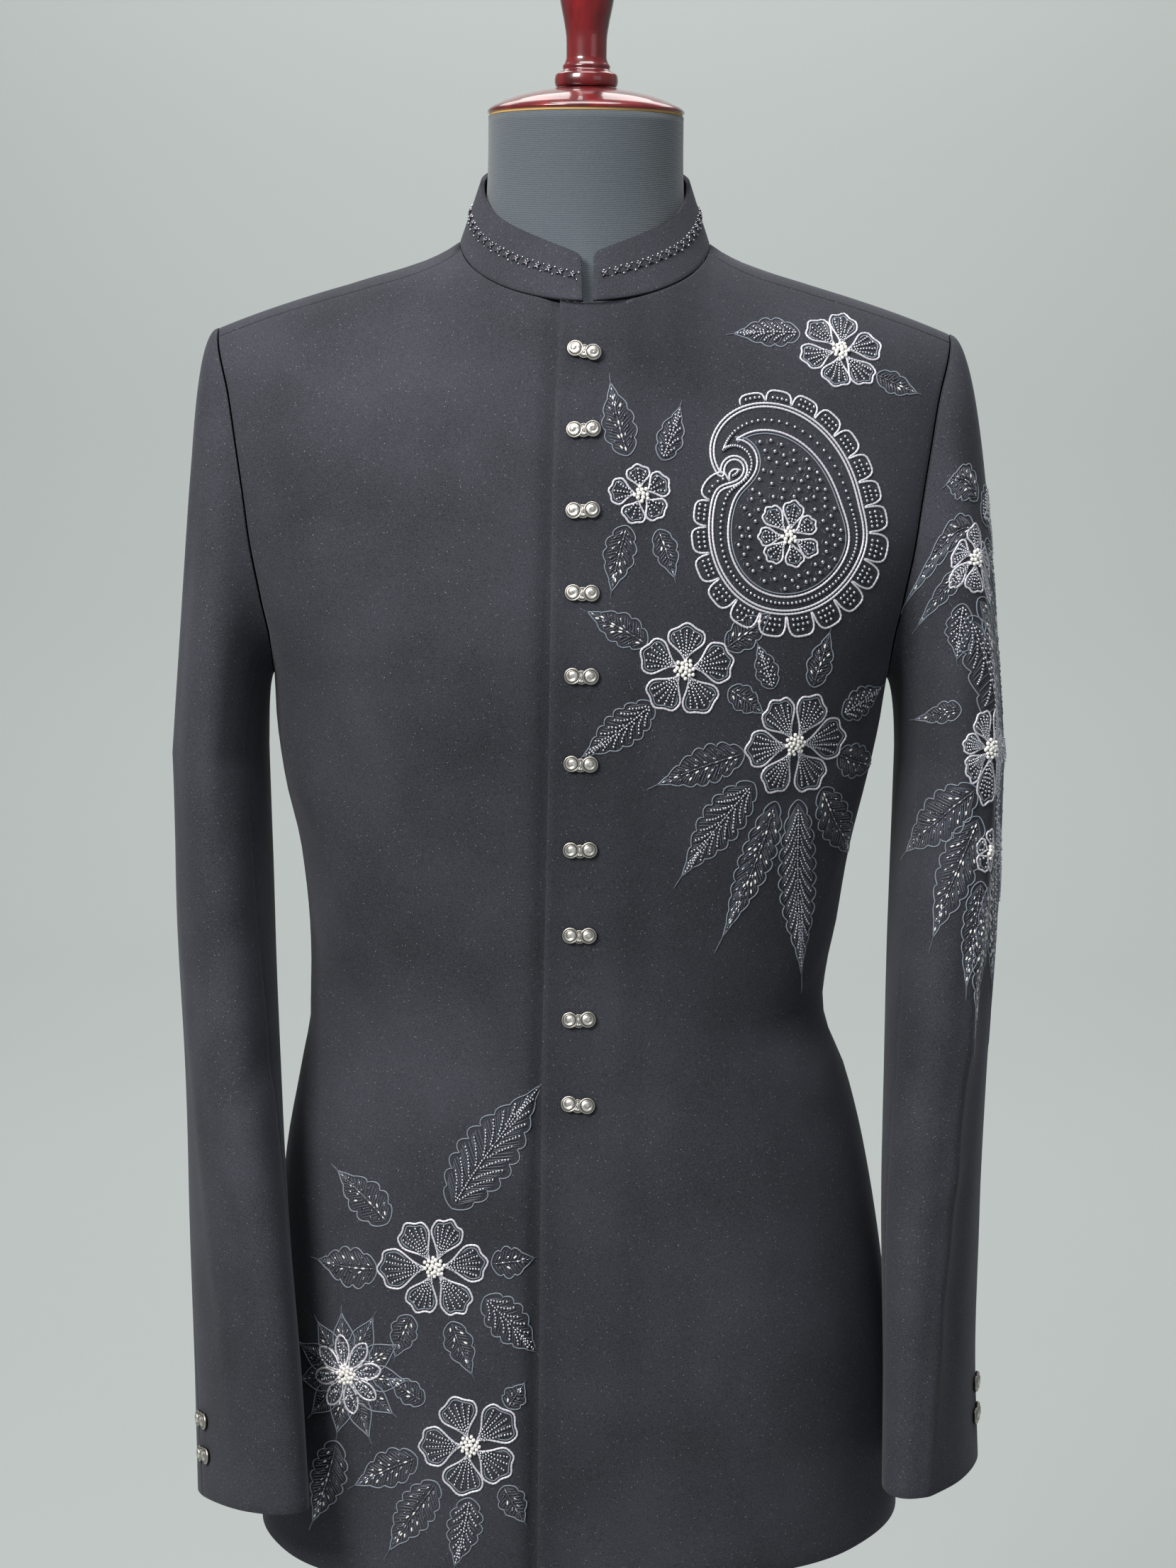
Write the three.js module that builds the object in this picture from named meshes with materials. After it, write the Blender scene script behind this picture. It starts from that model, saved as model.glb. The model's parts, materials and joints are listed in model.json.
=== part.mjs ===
// A bandhgala jacket, buttoned, on a limbless dress form with a turned wooden neck cap and a stand.
// Millimetres, +Z up, the wearer faces -Y and the wearer's left is +X. The origin is the middle of the foot.
import * as THREE from "three";

// Cloth
const WALL = 2; // fused and faced suiting
const SEAM_GAP = 0.3;
const OVERLAP_LIFT = 2.2; // how far the buttoned edge rises from the line of the chest
const UNDER_PRESS = 1.2; // how far the front under it is pressed in
const OVERLAP_RAMP = { from: 44, to: 20 }; // x where the lift starts, and where it is whole

// Heights of the worn jacket
const HEM_HEIGHT = 676;
const HEM_SLANT = 0.034; // the hem is a little higher on the wearer's left
const HEM_SWEEP = 10; // and higher by this at the side seams than in the middle
const ARMPIT = 1212;

// Horizontal sections of the worn jacket. Widths and depths are from the form's axis, square is the
// exponent of the oval. Above the armpit the widths are those of the oval that the armhole cuts.
const SECTIONS = [
  { height: 640, right: 198.5, left: 205, front: 135, back: 122, square: 2.35 },
  { height: 760, right: 195, left: 200.5, front: 133, back: 121, square: 2.5 },
  { height: 850, right: 188, left: 191, front: 130, back: 117, square: 2.45 },
  { height: 920, right: 181, left: 179, front: 125, back: 107, square: 2.4 },
  { height: 965, right: 173, left: 167.5, front: 120, back: 98, square: 2.35 },
  { height: 1010, right: 166, left: 151.5, front: 116, back: 90, square: 2.3 },
  { height: 1055, right: 167, left: 158.5, front: 116, back: 91, square: 2.35 },
  { height: 1105, right: 172, left: 166, front: 118, back: 95, square: 2.4 },
  { height: 1150, right: 182, left: 176, front: 122, back: 100, square: 2.5 },
  { height: 1190, right: 187, left: 184, front: 125, back: 104, square: 2.55 },
  { height: 1212, right: 188, left: 187, front: 126, back: 106, square: 2.6 },
  { height: 1235, right: 194, left: 194, front: 127, back: 108, square: 2.6 },
  { height: 1260, right: 205, left: 205, front: 127, back: 110, square: 2.6 },
  { height: 1300, right: 220, left: 220, front: 127, back: 113, square: 2.6 },
  { height: 1340, right: 228, left: 228, front: 127, back: 115, square: 2.6 },
  { height: 1380, right: 236, left: 236, front: 127, back: 117, square: 2.6 },
  { height: 1421, right: 246.5, left: 246.5, front: 127, back: 118, square: 2.6 },
  { height: 1600, right: 250, left: 250, front: 127, back: 118, square: 2.6 },
];

// The top line of the shoulders from the axis outwards; inside the neck it only guides the arches.
const RIDGE = [
  { out: 0, height: 1562 },
  { out: 40, height: 1522 },
  { out: 76, height: 1474 },
  { out: 96, height: 1463 },
  { out: 135, height: 1450.5 },
  { out: 165, height: 1441.5 },
  { out: 195, height: 1431.5 },
  { out: 222, height: 1421 },
  { out: 260, height: 1404 },
];
const ARCH_POWER = { front: 1.6, back: 2.5 }; // how the chest and the back round over to the ridge
const SHOULDER_SEAM = 78; // degrees up the front arch, so the seam lies just before the ridge

// The armhole cuts each arch where the oval has this share of its depth
const ARMHOLE_SHARE = 0.577;
const ARMHOLE_FOOT = { front: 35, back: 25 }; // degrees of arch over which its foot rounds

// Neckline, seen from the front
const NECKLINE = { half: 75.5, side: 1474, frontDrop: 37, backRise: 14 };

// The buttoned edge of the wearer's left front, and the hidden edge under it
const BUTTONED_EDGE = [
  { height: 640, x: -21.5 },
  { height: 970, x: -21 },
  { height: 1160, x: -18.5 },
  { height: 1340, x: -17 },
  { height: 1440, x: -13.4 },
];
const UNDER_EDGE = 14;

// Collar band
const COLLAR = {
  wall: 2.4,
  half: 63.2,
  y: -2,
  frontDepth: 70,
  backDepth: 68,
  side: 1511,
  frontDrop: 47,
  frontBow: 6.4, // how far the top edge rises above its oval halfway to the front
  backRise: 18,
  corner: 3.2, // degrees that a front end's rounded top corner takes away
  cornerFrom: 0.9,
};
const COLLAR_ENDS = { right: { foot: -0.6, top: -1.2 }, left: { foot: 4, top: 4.5 } }; // degrees
const COLLAR_ROWS = [0, 0.33, 0.66, 0.9, 0.965, 1];

// Sleeve sections, from under the armhole down. Centres are from the axis (out) and towards the front
// (forward); across and deep are half sizes; twist turns the section to the front; lift tilts it.
const CUFF_HEIGHTS = { left: 733.5, right: 719.5 };
const SLEEVE_SECTIONS = {
  right: [
    { height: 1165, out: 221.5, forward: 2, across: 28, deep: 76, twist: 0, lift: 0 },
    { height: 1060, out: 218, forward: 16, across: 30, deep: 74, twist: 4, lift: 0 },
    { height: 971, out: 212, forward: 38, across: 29, deep: 70, twist: 10, lift: 1 },
    { height: 882, out: 206, forward: 64, across: 26.5, deep: 65, twist: 20, lift: 1 },
    { height: 791, out: 198.5, forward: 88, across: 24, deep: 59, twist: 29, lift: 5 },
    { height: CUFF_HEIGHTS.right, out: 194, forward: 104, across: 22.5, deep: 56, twist: 34, lift: 7 },
  ],
  left: [
    { height: 1165, out: 227.5, forward: 2, across: 33, deep: 76, twist: 0, lift: 0 },
    { height: 1060, out: 224.5, forward: 13, across: 33.5, deep: 74, twist: 3, lift: 0 },
    { height: 971, out: 220.5, forward: 30, across: 31.5, deep: 70, twist: 8, lift: 1 },
    { height: 882, out: 217.5, forward: 50, across: 29, deep: 65, twist: 13, lift: 1 },
    { height: 791, out: 217, forward: 68, across: 25, deep: 59, twist: 19, lift: 0 },
    { height: CUFF_HEIGHTS.left, out: 217.5, forward: 80, across: 24, deep: 56, twist: 24, lift: -1.5 },
  ],
};
const SLEEVE_SQUARE = 2.1;
const SLEEVE_SEAMS = { front: { top: 48, cuff: 42 }, hind: { top: 228, cuff: 206 } }; // degrees round the arm

// Buttons
const BUTTON = { wide: 21, high: 9.4, thick: 3.6, bevel: 0.9 };
const FRONT_BUTTONS = { x: 0.4, heights: [1407, 1362, 1316, 1269, 1222, 1171, 1120, 1068.5, 1018, 967] };
const CUFF_BUTTONS = { beforeSeam: 9, right: [26, 46], left: [30, 49] }; // heights above the cuff

// Dress form and stand
const FORM = { bottom: 702, shoulderEase: 4.8, chestEase: 4, hipEase: 11, armPlate: 196 };
const NECK = { top: 1549, half: 59, y: 0, draw: 0.955 };
const CAP = { radius: 59.5, edge: 4, domeHeight: 13 };
const POLE = { radius: 15 };
const FOOT = { radius: 190, thick: 24, rounding: 8 };

const RAD = Math.PI / 180;
const V = (x, y, z) => new THREE.Vector3(x, y, z);
const mix = (a, b, t) => a + (b - a) * t;
const clamp01 = (t) => Math.min(1, Math.max(0, t));
const ease = (t) => clamp01(t) ** 2 * (3 - 2 * clamp01(t));

// A smooth reading of one column of a table between its rows: a cubic with slopes that never overshoot.
function reader(rows, key, column) {
  const xs = rows.map((row) => row[key]);
  const ys = rows.map((row) => row[column]);
  const last = xs.length - 1;
  const step = xs.slice(1).map((x, i) => x - xs[i]);
  const slope = step.map((h, i) => (ys[i + 1] - ys[i]) / h);
  const tangent = ys.map((_, i) => {
    if (i === 0) return slope[0];
    if (i === last) return slope[last - 1];
    if (slope[i - 1] * slope[i] <= 0) return 0;
    const near = 2 * step[i] + step[i - 1];
    const far = step[i] + 2 * step[i - 1];
    return (near + far) / (near / slope[i - 1] + far / slope[i]);
  });
  return (at) => {
    const x = Math.min(Math.max(at, Math.min(xs[0], xs[last])), Math.max(xs[0], xs[last]));
    let i = 0;
    while (i < last - 1 && (x - xs[i + 1]) * Math.sign(step[i]) > 0) i += 1;
    const h = step[i];
    const t = (x - xs[i]) / h;
    const bend = (1 - t) ** 2;
    return (
      ys[i] * (1 + 2 * t) * bend +
      tangent[i] * h * t * bend +
      ys[i + 1] * t * t * (3 - 2 * t) +
      tangent[i + 1] * h * t * t * (t - 1)
    );
  };
}
const readers = (rows, key, columns) =>
  Object.fromEntries(columns.map((column) => [column, reader(rows, key, column)]));

const section = readers(SECTIONS, "height", ["right", "left", "front", "back", "square"]);
const ridgeHeight = reader(RIDGE, "out", "height");
const buttonedEdge = reader(BUTTONED_EDGE, "height", "x");

const halfWidth = (height, x) => (x < 0 ? section.right(height) : section.left(height));

// A point of the jacket's outer surface. turn is degrees round from the front middle, + towards +X,
// 90 at the side and 180 at the back middle. rise is millimetres below the armpit when negative, and
// above it degrees up the arch that leads over the shoulder, 90 on the ridge and more past it.
function bodyPoint(turn, rise) {
  if (rise > 90) return bodyPoint(Math.sign(turn) * (180 - Math.abs(turn)), 180 - rise);
  const front = Math.abs(turn) <= 90;
  const sine = Math.sin(turn * RAD);
  const power = front ? ARCH_POWER.front : ARCH_POWER.back;
  let height = ARMPIT + Math.min(rise, 0);
  if (rise > 0) {
    const share = Math.sin(rise * RAD) ** (2 / power);
    for (let pass = 0; pass < 12; pass += 1) {
      const out = Math.abs(sine) * halfWidth(height, sine);
      height = ARMPIT + (ridgeHeight(out) - ARMPIT) * share;
    }
  }
  const square = section.square(height);
  const oval = Math.max(0, 1 - Math.abs(sine) ** square) ** (1 / square);
  const arch = rise > 0 ? Math.cos(rise * RAD) : 1;
  const depth = front ? -section.front(height) : section.back(height);
  return V(sine * halfWidth(height, sine), depth * oval * arch, height);
}

// The outward normal of the body there.
function bodyNormal(turn, rise, reach = 0.5) {
  const around = bodyPoint(turn + reach, rise).sub(bodyPoint(turn - reach, rise));
  const upward = bodyPoint(turn, rise + reach).sub(bodyPoint(turn, rise - reach));
  return around.cross(upward).normalize();
}

// The turn at which the front surface has this x, at this rise.
function turnAtX(x, rise) {
  let turn = 0;
  for (let pass = 0; pass < 8; pass += 1) {
    const height = bodyPoint(turn, rise).z;
    turn = Math.asin(x / halfWidth(height, x)) / RAD;
  }
  return turn;
}

// Where the armhole crosses the arch: degrees round from the middle, for a rise of 0 to 90.
function armholeTurn(rise, foot) {
  const low = clamp01(rise / foot);
  const share = ARMHOLE_SHARE * Math.sqrt(1 - (1 - low) ** 2);
  const square = section.square(ARMPIT);
  return Math.asin((1 - share ** square) ** (1 / square)) / RAD;
}

// The neckline as turn and rise, at an angle round the neck: 0 front middle, 90 side, 180 back middle.
function neckline(angle) {
  const x = NECKLINE.half * Math.sin(angle * RAD);
  const towardsFront = Math.cos(angle * RAD);
  const fall = towardsFront > 0 ? NECKLINE.frontDrop * towardsFront : -NECKLINE.backRise * towardsFront ** 2;
  const height = ridgeHeight(NECKLINE.half) - fall; // it meets the ridge only at the sides
  const front = towardsFront >= 0;
  const power = front ? ARCH_POWER.front : ARCH_POWER.back;
  const share = clamp01((height - ARMPIT) / (ridgeHeight(Math.abs(x)) - ARMPIT));
  const rise = Math.asin(share ** (power / 2)) / RAD;
  const turn = Math.asin(x / halfWidth(height, x)) / RAD;
  return front ? { turn, rise } : { turn: 180 - turn, rise };
}

// The angle at which the neckline meets the shoulder seam, found by halving.
function neckPointAngle() {
  let low = 0;
  let high = 90;
  for (let pass = 0; pass < 30; pass += 1) {
    const middle = (low + high) / 2;
    if (neckline(middle).rise < SHOULDER_SEAM) low = middle;
    else high = middle;
  }
  return low;
}
const NECK_POINT = neckPointAngle();

// A patch between four border curves of turn and rise (a Coons patch).
function patch(bottom, top, left, right) {
  const at = (p, q, key) =>
    (1 - q) * bottom(p)[key] +
    q * top(p)[key] +
    (1 - p) * left(q)[key] +
    p * right(q)[key] -
    ((1 - p) * (1 - q) * bottom(0)[key] +
      p * (1 - q) * bottom(1)[key] +
      (1 - p) * q * top(0)[key] +
      p * q * top(1)[key]);
  return (p, q) => ({ turn: at(p, q, "turn"), rise: at(p, q, "rise") });
}

const hemRise = (turn) => {
  const across = Math.sin(turn * RAD);
  const slant = HEM_SLANT * across * halfWidth(HEM_HEIGHT, turn);
  return HEM_HEIGHT + slant + HEM_SWEEP * across ** 8 - ARMPIT;
};

// One front as a function of p, from its middle edge to the side, and q, from the hem up. The lower
// part of q runs to the armpit. side is -1 for the wearer's right and 1 for the left.
const neckEdgeAngle = (edgeX) => Math.asin(edgeX(NECKLINE.side - NECKLINE.frontDrop) / NECKLINE.half) / RAD;
const NECK_SHARE = 0.4; // of the top border that is neckline
const LOWER_SHARE = 0.62; // of q that is below the armpit
function frontPanel(side) {
  const edgeX = side > 0 ? buttonedEdge : () => UNDER_EDGE;
  const edgeTurn = (rise) => {
    const height = rise > 0 ? bodyPoint(0, rise).z : ARMPIT + rise;
    return side * turnAtX(edgeX(height), rise);
  };
  const neckEdge = side * neckEdgeAngle(edgeX);
  const neckRise = neckline(neckEdge).rise;
  const bottom = (p) => ({ turn: mix(edgeTurn(0), 90, p), rise: 0 });
  const left = (q) => ({ turn: edgeTurn(mix(0, neckRise, q)), rise: mix(0, neckRise, q) });
  const right = (q) => {
    const rise = SHOULDER_SEAM * (1 - Math.cos(q * 90 * RAD));
    return { turn: armholeTurn(rise, ARMHOLE_FOOT.front), rise };
  };
  const neckPoint = neckline(NECK_POINT);
  const top = (p) => {
    if (p < NECK_SHARE) return neckline(mix(neckEdge, NECK_POINT, p / NECK_SHARE));
    const along = (p - NECK_SHARE) / (1 - NECK_SHARE);
    return { turn: mix(neckPoint.turn, right(1).turn, along), rise: SHOULDER_SEAM };
  };
  const upper = patch(bottom, top, left, right);
  return (p, q) => {
    if (q > LOWER_SHARE) {
      const { turn, rise } = upper(p, (q - LOWER_SHARE) / (1 - LOWER_SHARE));
      return { turn: side * turn, rise };
    }
    const turn = side * mix(edgeTurn(mix(HEM_HEIGHT - ARMPIT, 0, q / LOWER_SHARE)), 90, p);
    return { turn, rise: mix(hemRise(turn), 0, q / LOWER_SHARE) };
  };
}

// One back, from the centre seam to the side, and from the hem to the neckline and shoulder seam.
const BACK_NECK_SHARE = 0.36;
function backPanel(side) {
  const bottom = (p) => ({ turn: mix(180, 90, p), rise: 0 });
  const neckMiddle = neckline(180);
  const left = (q) => ({ turn: 180, rise: mix(0, neckMiddle.rise, q) });
  const right = (q) => {
    const rise = (180 - SHOULDER_SEAM) * (1 - Math.cos(q * 90 * RAD));
    const foot = armholeTurn(Math.min(rise, 180 - rise), ARMHOLE_FOOT.back);
    return { turn: 180 - foot, rise };
  };
  const neckPoint = neckline(NECK_POINT);
  const top = (p) => {
    if (p < BACK_NECK_SHARE) {
      const angle = mix(180, NECK_POINT, p / BACK_NECK_SHARE);
      const found = neckline(angle);
      return angle >= 90 ? found : { turn: 180 - found.turn, rise: 180 - found.rise };
    }
    const along = (p - BACK_NECK_SHARE) / (1 - BACK_NECK_SHARE);
    return { turn: mix(180 - neckPoint.turn, right(1).turn, along), rise: 180 - SHOULDER_SEAM };
  };
  const upper = patch(bottom, top, left, right);
  return (p, q) => {
    if (q > LOWER_SHARE) {
      const { turn, rise } = upper(p, (q - LOWER_SHARE) / (1 - LOWER_SHARE));
      return { turn: side * turn, rise };
    }
    const turn = side * mix(180, 90, p);
    return { turn, rise: mix(hemRise(turn), 0, q / LOWER_SHARE) };
  };
}

// The armhole as a loop: degrees round the arm, 0 at the armpit, 90 front, 180 shoulder, 270 back.
function armholePoint(side, anyRound) {
  const round = (anyRound + 360) % 360;
  const front = round <= 180;
  const way = front ? round : 360 - round;
  const rise = 90 * (1 - Math.cos((way / 2) * RAD));
  const foot = front ? ARMHOLE_FOOT.front : ARMHOLE_FOOT.back;
  const turn = armholeTurn(rise, foot);
  return bodyPoint(side * (front ? turn : 180 - turn), rise);
}

const sideWord = (side) => (side > 0 ? "left" : "right");

// A sleeve's surface below the armhole, at a height in its table.
function sleeveRing(side, round, height) {
  const columns = ["out", "forward", "across", "deep", "twist", "lift"];
  const word = sideWord(side);
  sleeveRing[word] ??= readers(SLEEVE_SECTIONS[word], "height", columns);
  const at = sleeveRing[word];
  const c = Math.cos(round * RAD);
  const s = Math.sin(round * RAD);
  const power = 2 / SLEEVE_SQUARE;
  const outwards = -Math.sign(c) * Math.abs(c) ** power * at.across(height);
  const forwards = Math.sign(s) * Math.abs(s) ** power * at.deep(height);
  const twist = at.twist(height) * RAD;
  const out = at.out(height) + outwards * Math.cos(twist) - forwards * Math.sin(twist);
  const forward = at.forward(height) + forwards * Math.cos(twist) + outwards * Math.sin(twist);
  return V(side * out, -forward, height + at.lift(height) * s);
}

// A whole sleeve: t runs 0 to 1 over the head, from the armhole to the first ring, then to 2 at the cuff.
const HEAD_END = SLEEVE_SECTIONS.right[0].height;
const HEAD = { startTop: 17, startSide: 30, startFoot: 5, endTop: 160, endSide: 55, endFoot: 14, draw: 13 };
function sleevePoint(side, round, t) {
  if (t >= 1) return sleeveRing(side, round, mix(HEAD_END, CUFF_HEIGHTS[sideWord(side)], t - 1));
  const from = armholePoint(side, round);
  const to = sleeveRing(side, round, HEAD_END);
  const up = (1 - Math.cos(round * RAD)) / 2; // 0 at the armpit, 1 at the shoulder
  const flank = Math.sin(round * RAD);
  const three = (foot, middle, top) => foot * (1 - up) ** 2 + 2 * middle * up * (1 - up) + top * up ** 2;
  const start = three(HEAD.startFoot, HEAD.startSide, HEAD.startTop);
  const end = three(HEAD.endFoot, HEAD.endSide, HEAD.endTop);
  const leave = V(side, -0.35 * flank, mix(-0.35, -0.05, up) - 0.35 * flank ** 2).normalize();
  const origin = from.clone().addScaledVector(leave, SEAM_GAP);
  const first = origin.clone().addScaledVector(leave, start);
  const second = to.clone().add(V(-side * HEAD.draw * up, 0, end));
  const a = (1 - t) ** 3;
  const b = 3 * t * (1 - t) ** 2;
  const c = 3 * t * t * (1 - t);
  const d = t ** 3;
  return V(0, 0, 0)
    .addScaledVector(origin, a)
    .addScaledVector(first, b)
    .addScaledVector(second, c)
    .addScaledVector(to, d);
}

// The outward normal of a sleeve there.
function sleeveNormal(side, round, t, reach = 0.01) {
  const around = sleevePoint(side, round + 90 * reach, t).sub(sleevePoint(side, round - 90 * reach, t));
  const below = sleevePoint(side, round, Math.min(t + reach, 2));
  const down = below.sub(sleevePoint(side, round, Math.max(t - reach, 0)));
  return down.cross(around).multiplyScalar(side).normalize();
}

// A grid of points of a surface, columns along p and rows along q.
function gridOf(surface, ps, qs) {
  return qs.map((q) => ps.map((p) => surface(p, q)));
}
const steps = (count, from = 0, to = 1) =>
  Array.from({ length: count + 1 }, (_, i) => mix(from, to, i / count));

// Outward normals of a grid, from its neighbours; flip turns them round.
function normalsOf(grid) {
  const rows = grid.length;
  const columns = grid[0].length;
  return grid.map((row, j) =>
    row.map((_, i) => {
      const along = row[Math.min(i + 1, columns - 1)].clone().sub(row[Math.max(i - 1, 0)]);
      const up = grid[Math.min(j + 1, rows - 1)][i].clone().sub(grid[Math.max(j - 1, 0)][i]);
      return along.cross(up).normalize();
    }),
  );
}

const offsetGrid = (grid, normals, distance) =>
  grid.map((row, j) => row.map((point, i) => point.clone().addScaledVector(normals[j][i], distance)));

// Draws the four borders of a grid in by half a seam gap, so that neighbours stay apart.
function trimmed(grid, borders = { low: true, high: true, first: true, last: true }) {
  const rows = grid.length - 1;
  const columns = grid[0].length - 1;
  const out = grid.map((row) => row.map((point) => point.clone()));
  const draw = (j, i, jn, iN) => {
    const way = grid[jn][iN].clone().sub(grid[j][i]).normalize();
    out[j][i].addScaledVector(way, SEAM_GAP * 0.65);
  };
  for (let i = 0; i <= columns; i += 1) {
    if (borders.low) draw(0, i, 1, i);
    if (borders.high) draw(rows, i, rows - 1, i);
  }
  for (let j = 0; j <= rows; j += 1) {
    if (borders.first) draw(j, 0, j, 1);
    if (borders.last) draw(j, columns, j, columns - 1);
  }
  return out;
}

// A closed solid between an outer and an inner grid.
function solidBetween(outer, inner, flip) {
  const rows = outer.length;
  const columns = outer[0].length;
  const points = [...outer.flat(), ...inner.flat()];
  const shift = rows * columns;
  const index = [];
  const quad = (a, b, c, d) => (flip ? index.push(a, c, b, a, d, c) : index.push(a, b, c, a, c, d));
  const last = columns - 1;
  for (let j = 0; j < rows - 1; j += 1) {
    for (let i = 0; i < last; i += 1) {
      const a = j * columns + i;
      const [b, c, d] = [a + 1, a + columns + 1, a + columns];
      quad(a, b, c, d);
      quad(shift + a, shift + d, shift + c, shift + b);
    }
  }
  const top = (rows - 1) * columns;
  for (let i = 0; i < last; i += 1) {
    quad(shift + i, shift + i + 1, i + 1, i);
    quad(top + i, top + i + 1, shift + top + i + 1, shift + top + i);
  }
  for (let j = 0; j < rows - 1; j += 1) {
    const [a, b] = [j * columns, (j + 1) * columns];
    quad(shift + a, a, b, shift + b);
    quad(a + last, shift + a + last, shift + b + last, b + last);
  }
  return geometryOf(points, index);
}

function geometryOf(points, index) {
  const geometry = new THREE.BufferGeometry();
  const numbers = points.flatMap((p) => [p.x, p.y, p.z]);
  geometry.setAttribute("position", new THREE.Float32BufferAttribute(numbers, 3));
  geometry.setIndex(index);
  geometry.computeVertexNormals();
  return geometry;
}

// A solid skin over a grid of closed rings, with a fan at each end.
function cappedSolid(rings) {
  const columns = rings[0].length;
  const points = rings.flat();
  const index = [];
  for (let j = 0; j < rings.length - 1; j += 1) {
    for (let i = 0; i < columns; i += 1) {
      const k = (i + 1) % columns;
      const [a, b, c, d] = [j * columns + i, j * columns + k, (j + 1) * columns + k, (j + 1) * columns + i];
      index.push(a, b, c, a, c, d);
    }
  }
  const sum = (ring) => ring.reduce((total, point) => total.add(point), V(0, 0, 0));
  const middle = (ring) => sum(ring).multiplyScalar(1 / ring.length);
  const low = points.push(middle(rings[0])) - 1;
  const high = points.push(middle(rings.at(-1))) - 1;
  const top = (rings.length - 1) * columns;
  for (let i = 0; i < columns; i += 1) {
    const k = (i + 1) % columns;
    index.push(low, k, i, high, top + i, top + k);
  }
  return geometryOf(points, index);
}

// Materials, as the photograph shows them
const blackCloth = new THREE.MeshStandardMaterial({ color: 0x17171a, roughness: 0.92, metalness: 0 });
const greyJersey = new THREE.MeshStandardMaterial({ color: 0x474f54, roughness: 0.95, metalness: 0 });
const cherryLacquer = new THREE.MeshStandardMaterial({ color: 0x5a0f12, roughness: 0.12, metalness: 0 });
const castSilver = new THREE.MeshStandardMaterial({ color: 0xb9b2a4, roughness: 0.35, metalness: 1 });

const jacket = new THREE.Group();
function addPiece(name, geometry, material) {
  const mesh = new THREE.Mesh(geometry, material);
  mesh.name = name;
  jacket.add(mesh);
  return mesh;
}

// The neck point lies on a column, and rows are closer over the shoulder than down the skirt
const NECK_COLUMNS = 6;
const columnsWith = (share) => [...steps(NECK_COLUMNS, 0, share), ...steps(6, share, 1).slice(1)];
const UPPER_ROWS = [0.1, 0.2, 0.3, 0.4, 0.5, 0.6, 0.68, 0.76, 0.83, 0.89, 0.945, 1];
const PANEL_ROWS = [...steps(12, 0, LOWER_SHARE), ...UPPER_ROWS.map((share) => mix(LOWER_SHARE, 1, share))];

function addPanel(name, place, columns, flip, lift = () => 0) {
  const places = gridOf(place, columns, PANEL_ROWS);
  const raw = places.map((row) => row.map(({ turn, rise }) => bodyPoint(turn, rise)));
  const normals = places.map((row) => row.map(({ turn, rise }) => bodyNormal(turn, rise)));
  const raised = raw.map((row, j) =>
    row.map((point, i) => point.clone().addScaledVector(normals[j][i], lift(point))),
  );
  // the lifted top edge stays below the foot of the collar
  raised.at(-1).forEach((point, i) => {
    const down = raised.at(-2)[i].clone().sub(point).normalize();
    point.addScaledVector(down, Math.abs(lift(point)) * 0.7);
  });
  const outer = trimmed(raised);
  const inner = offsetGrid(outer, normals, -WALL);
  return addPiece(name, solidBetween(outer, inner, flip), blackCloth);
}

const overlapLift = ({ x }) =>
  OVERLAP_LIFT * ease((OVERLAP_RAMP.from - x) / (OVERLAP_RAMP.from - OVERLAP_RAMP.to));
const underPress = ({ x }) => -UNDER_PRESS * ease((x + 30) / 18);

const buttonedFront = addPanel("front_left", frontPanel(1), columnsWith(NECK_SHARE), false, overlapLift);
addPanel("front_right", frontPanel(-1), columnsWith(NECK_SHARE), true, underPress);
addPanel("back_left", backPanel(1), columnsWith(BACK_NECK_SHARE), true);
addPanel("back_right", backPanel(-1), columnsWith(BACK_NECK_SHARE), false);

// Sleeves, each an upper and an under piece between the front and the hind seam
const SLEEVE_ROWS = [0, 0.04, 0.1, 0.19, 0.31, 0.46, 0.64, 0.82, ...steps(10, 1, 2)];
function addSleeve(word, side) {
  const flip = side < 0;
  const seam = (which, t) => mix(which.top, which.cuff, t / 2);
  const pieces = {
    upper: (p, t) => mix(seam(SLEEVE_SEAMS.front, t), seam(SLEEVE_SEAMS.hind, t), p),
    under: (p, t) => mix(seam(SLEEVE_SEAMS.hind, t), seam(SLEEVE_SEAMS.front, t) + 360, p),
  };
  for (const [kind, round] of Object.entries(pieces)) {
    const raw = gridOf((p, t) => sleevePoint(side, round(p, t), t), steps(10), SLEEVE_ROWS);
    const normals = gridOf((p, t) => sleeveNormal(side, round(p, t), t), steps(10), SLEEVE_ROWS);
    const outer = trimmed(raw, { low: false, high: false, first: true, last: true });
    const inner = offsetGrid(outer, normals, -WALL);
    const solid = solidBetween(outer, inner, !flip);
    sleeves[`${kind} ${word}`] = addPiece(`sleeve_${kind}_${word}`, solid, blackCloth);
  }
}
const sleeves = {};
addSleeve("left", 1);
addSleeve("right", -1);

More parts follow.
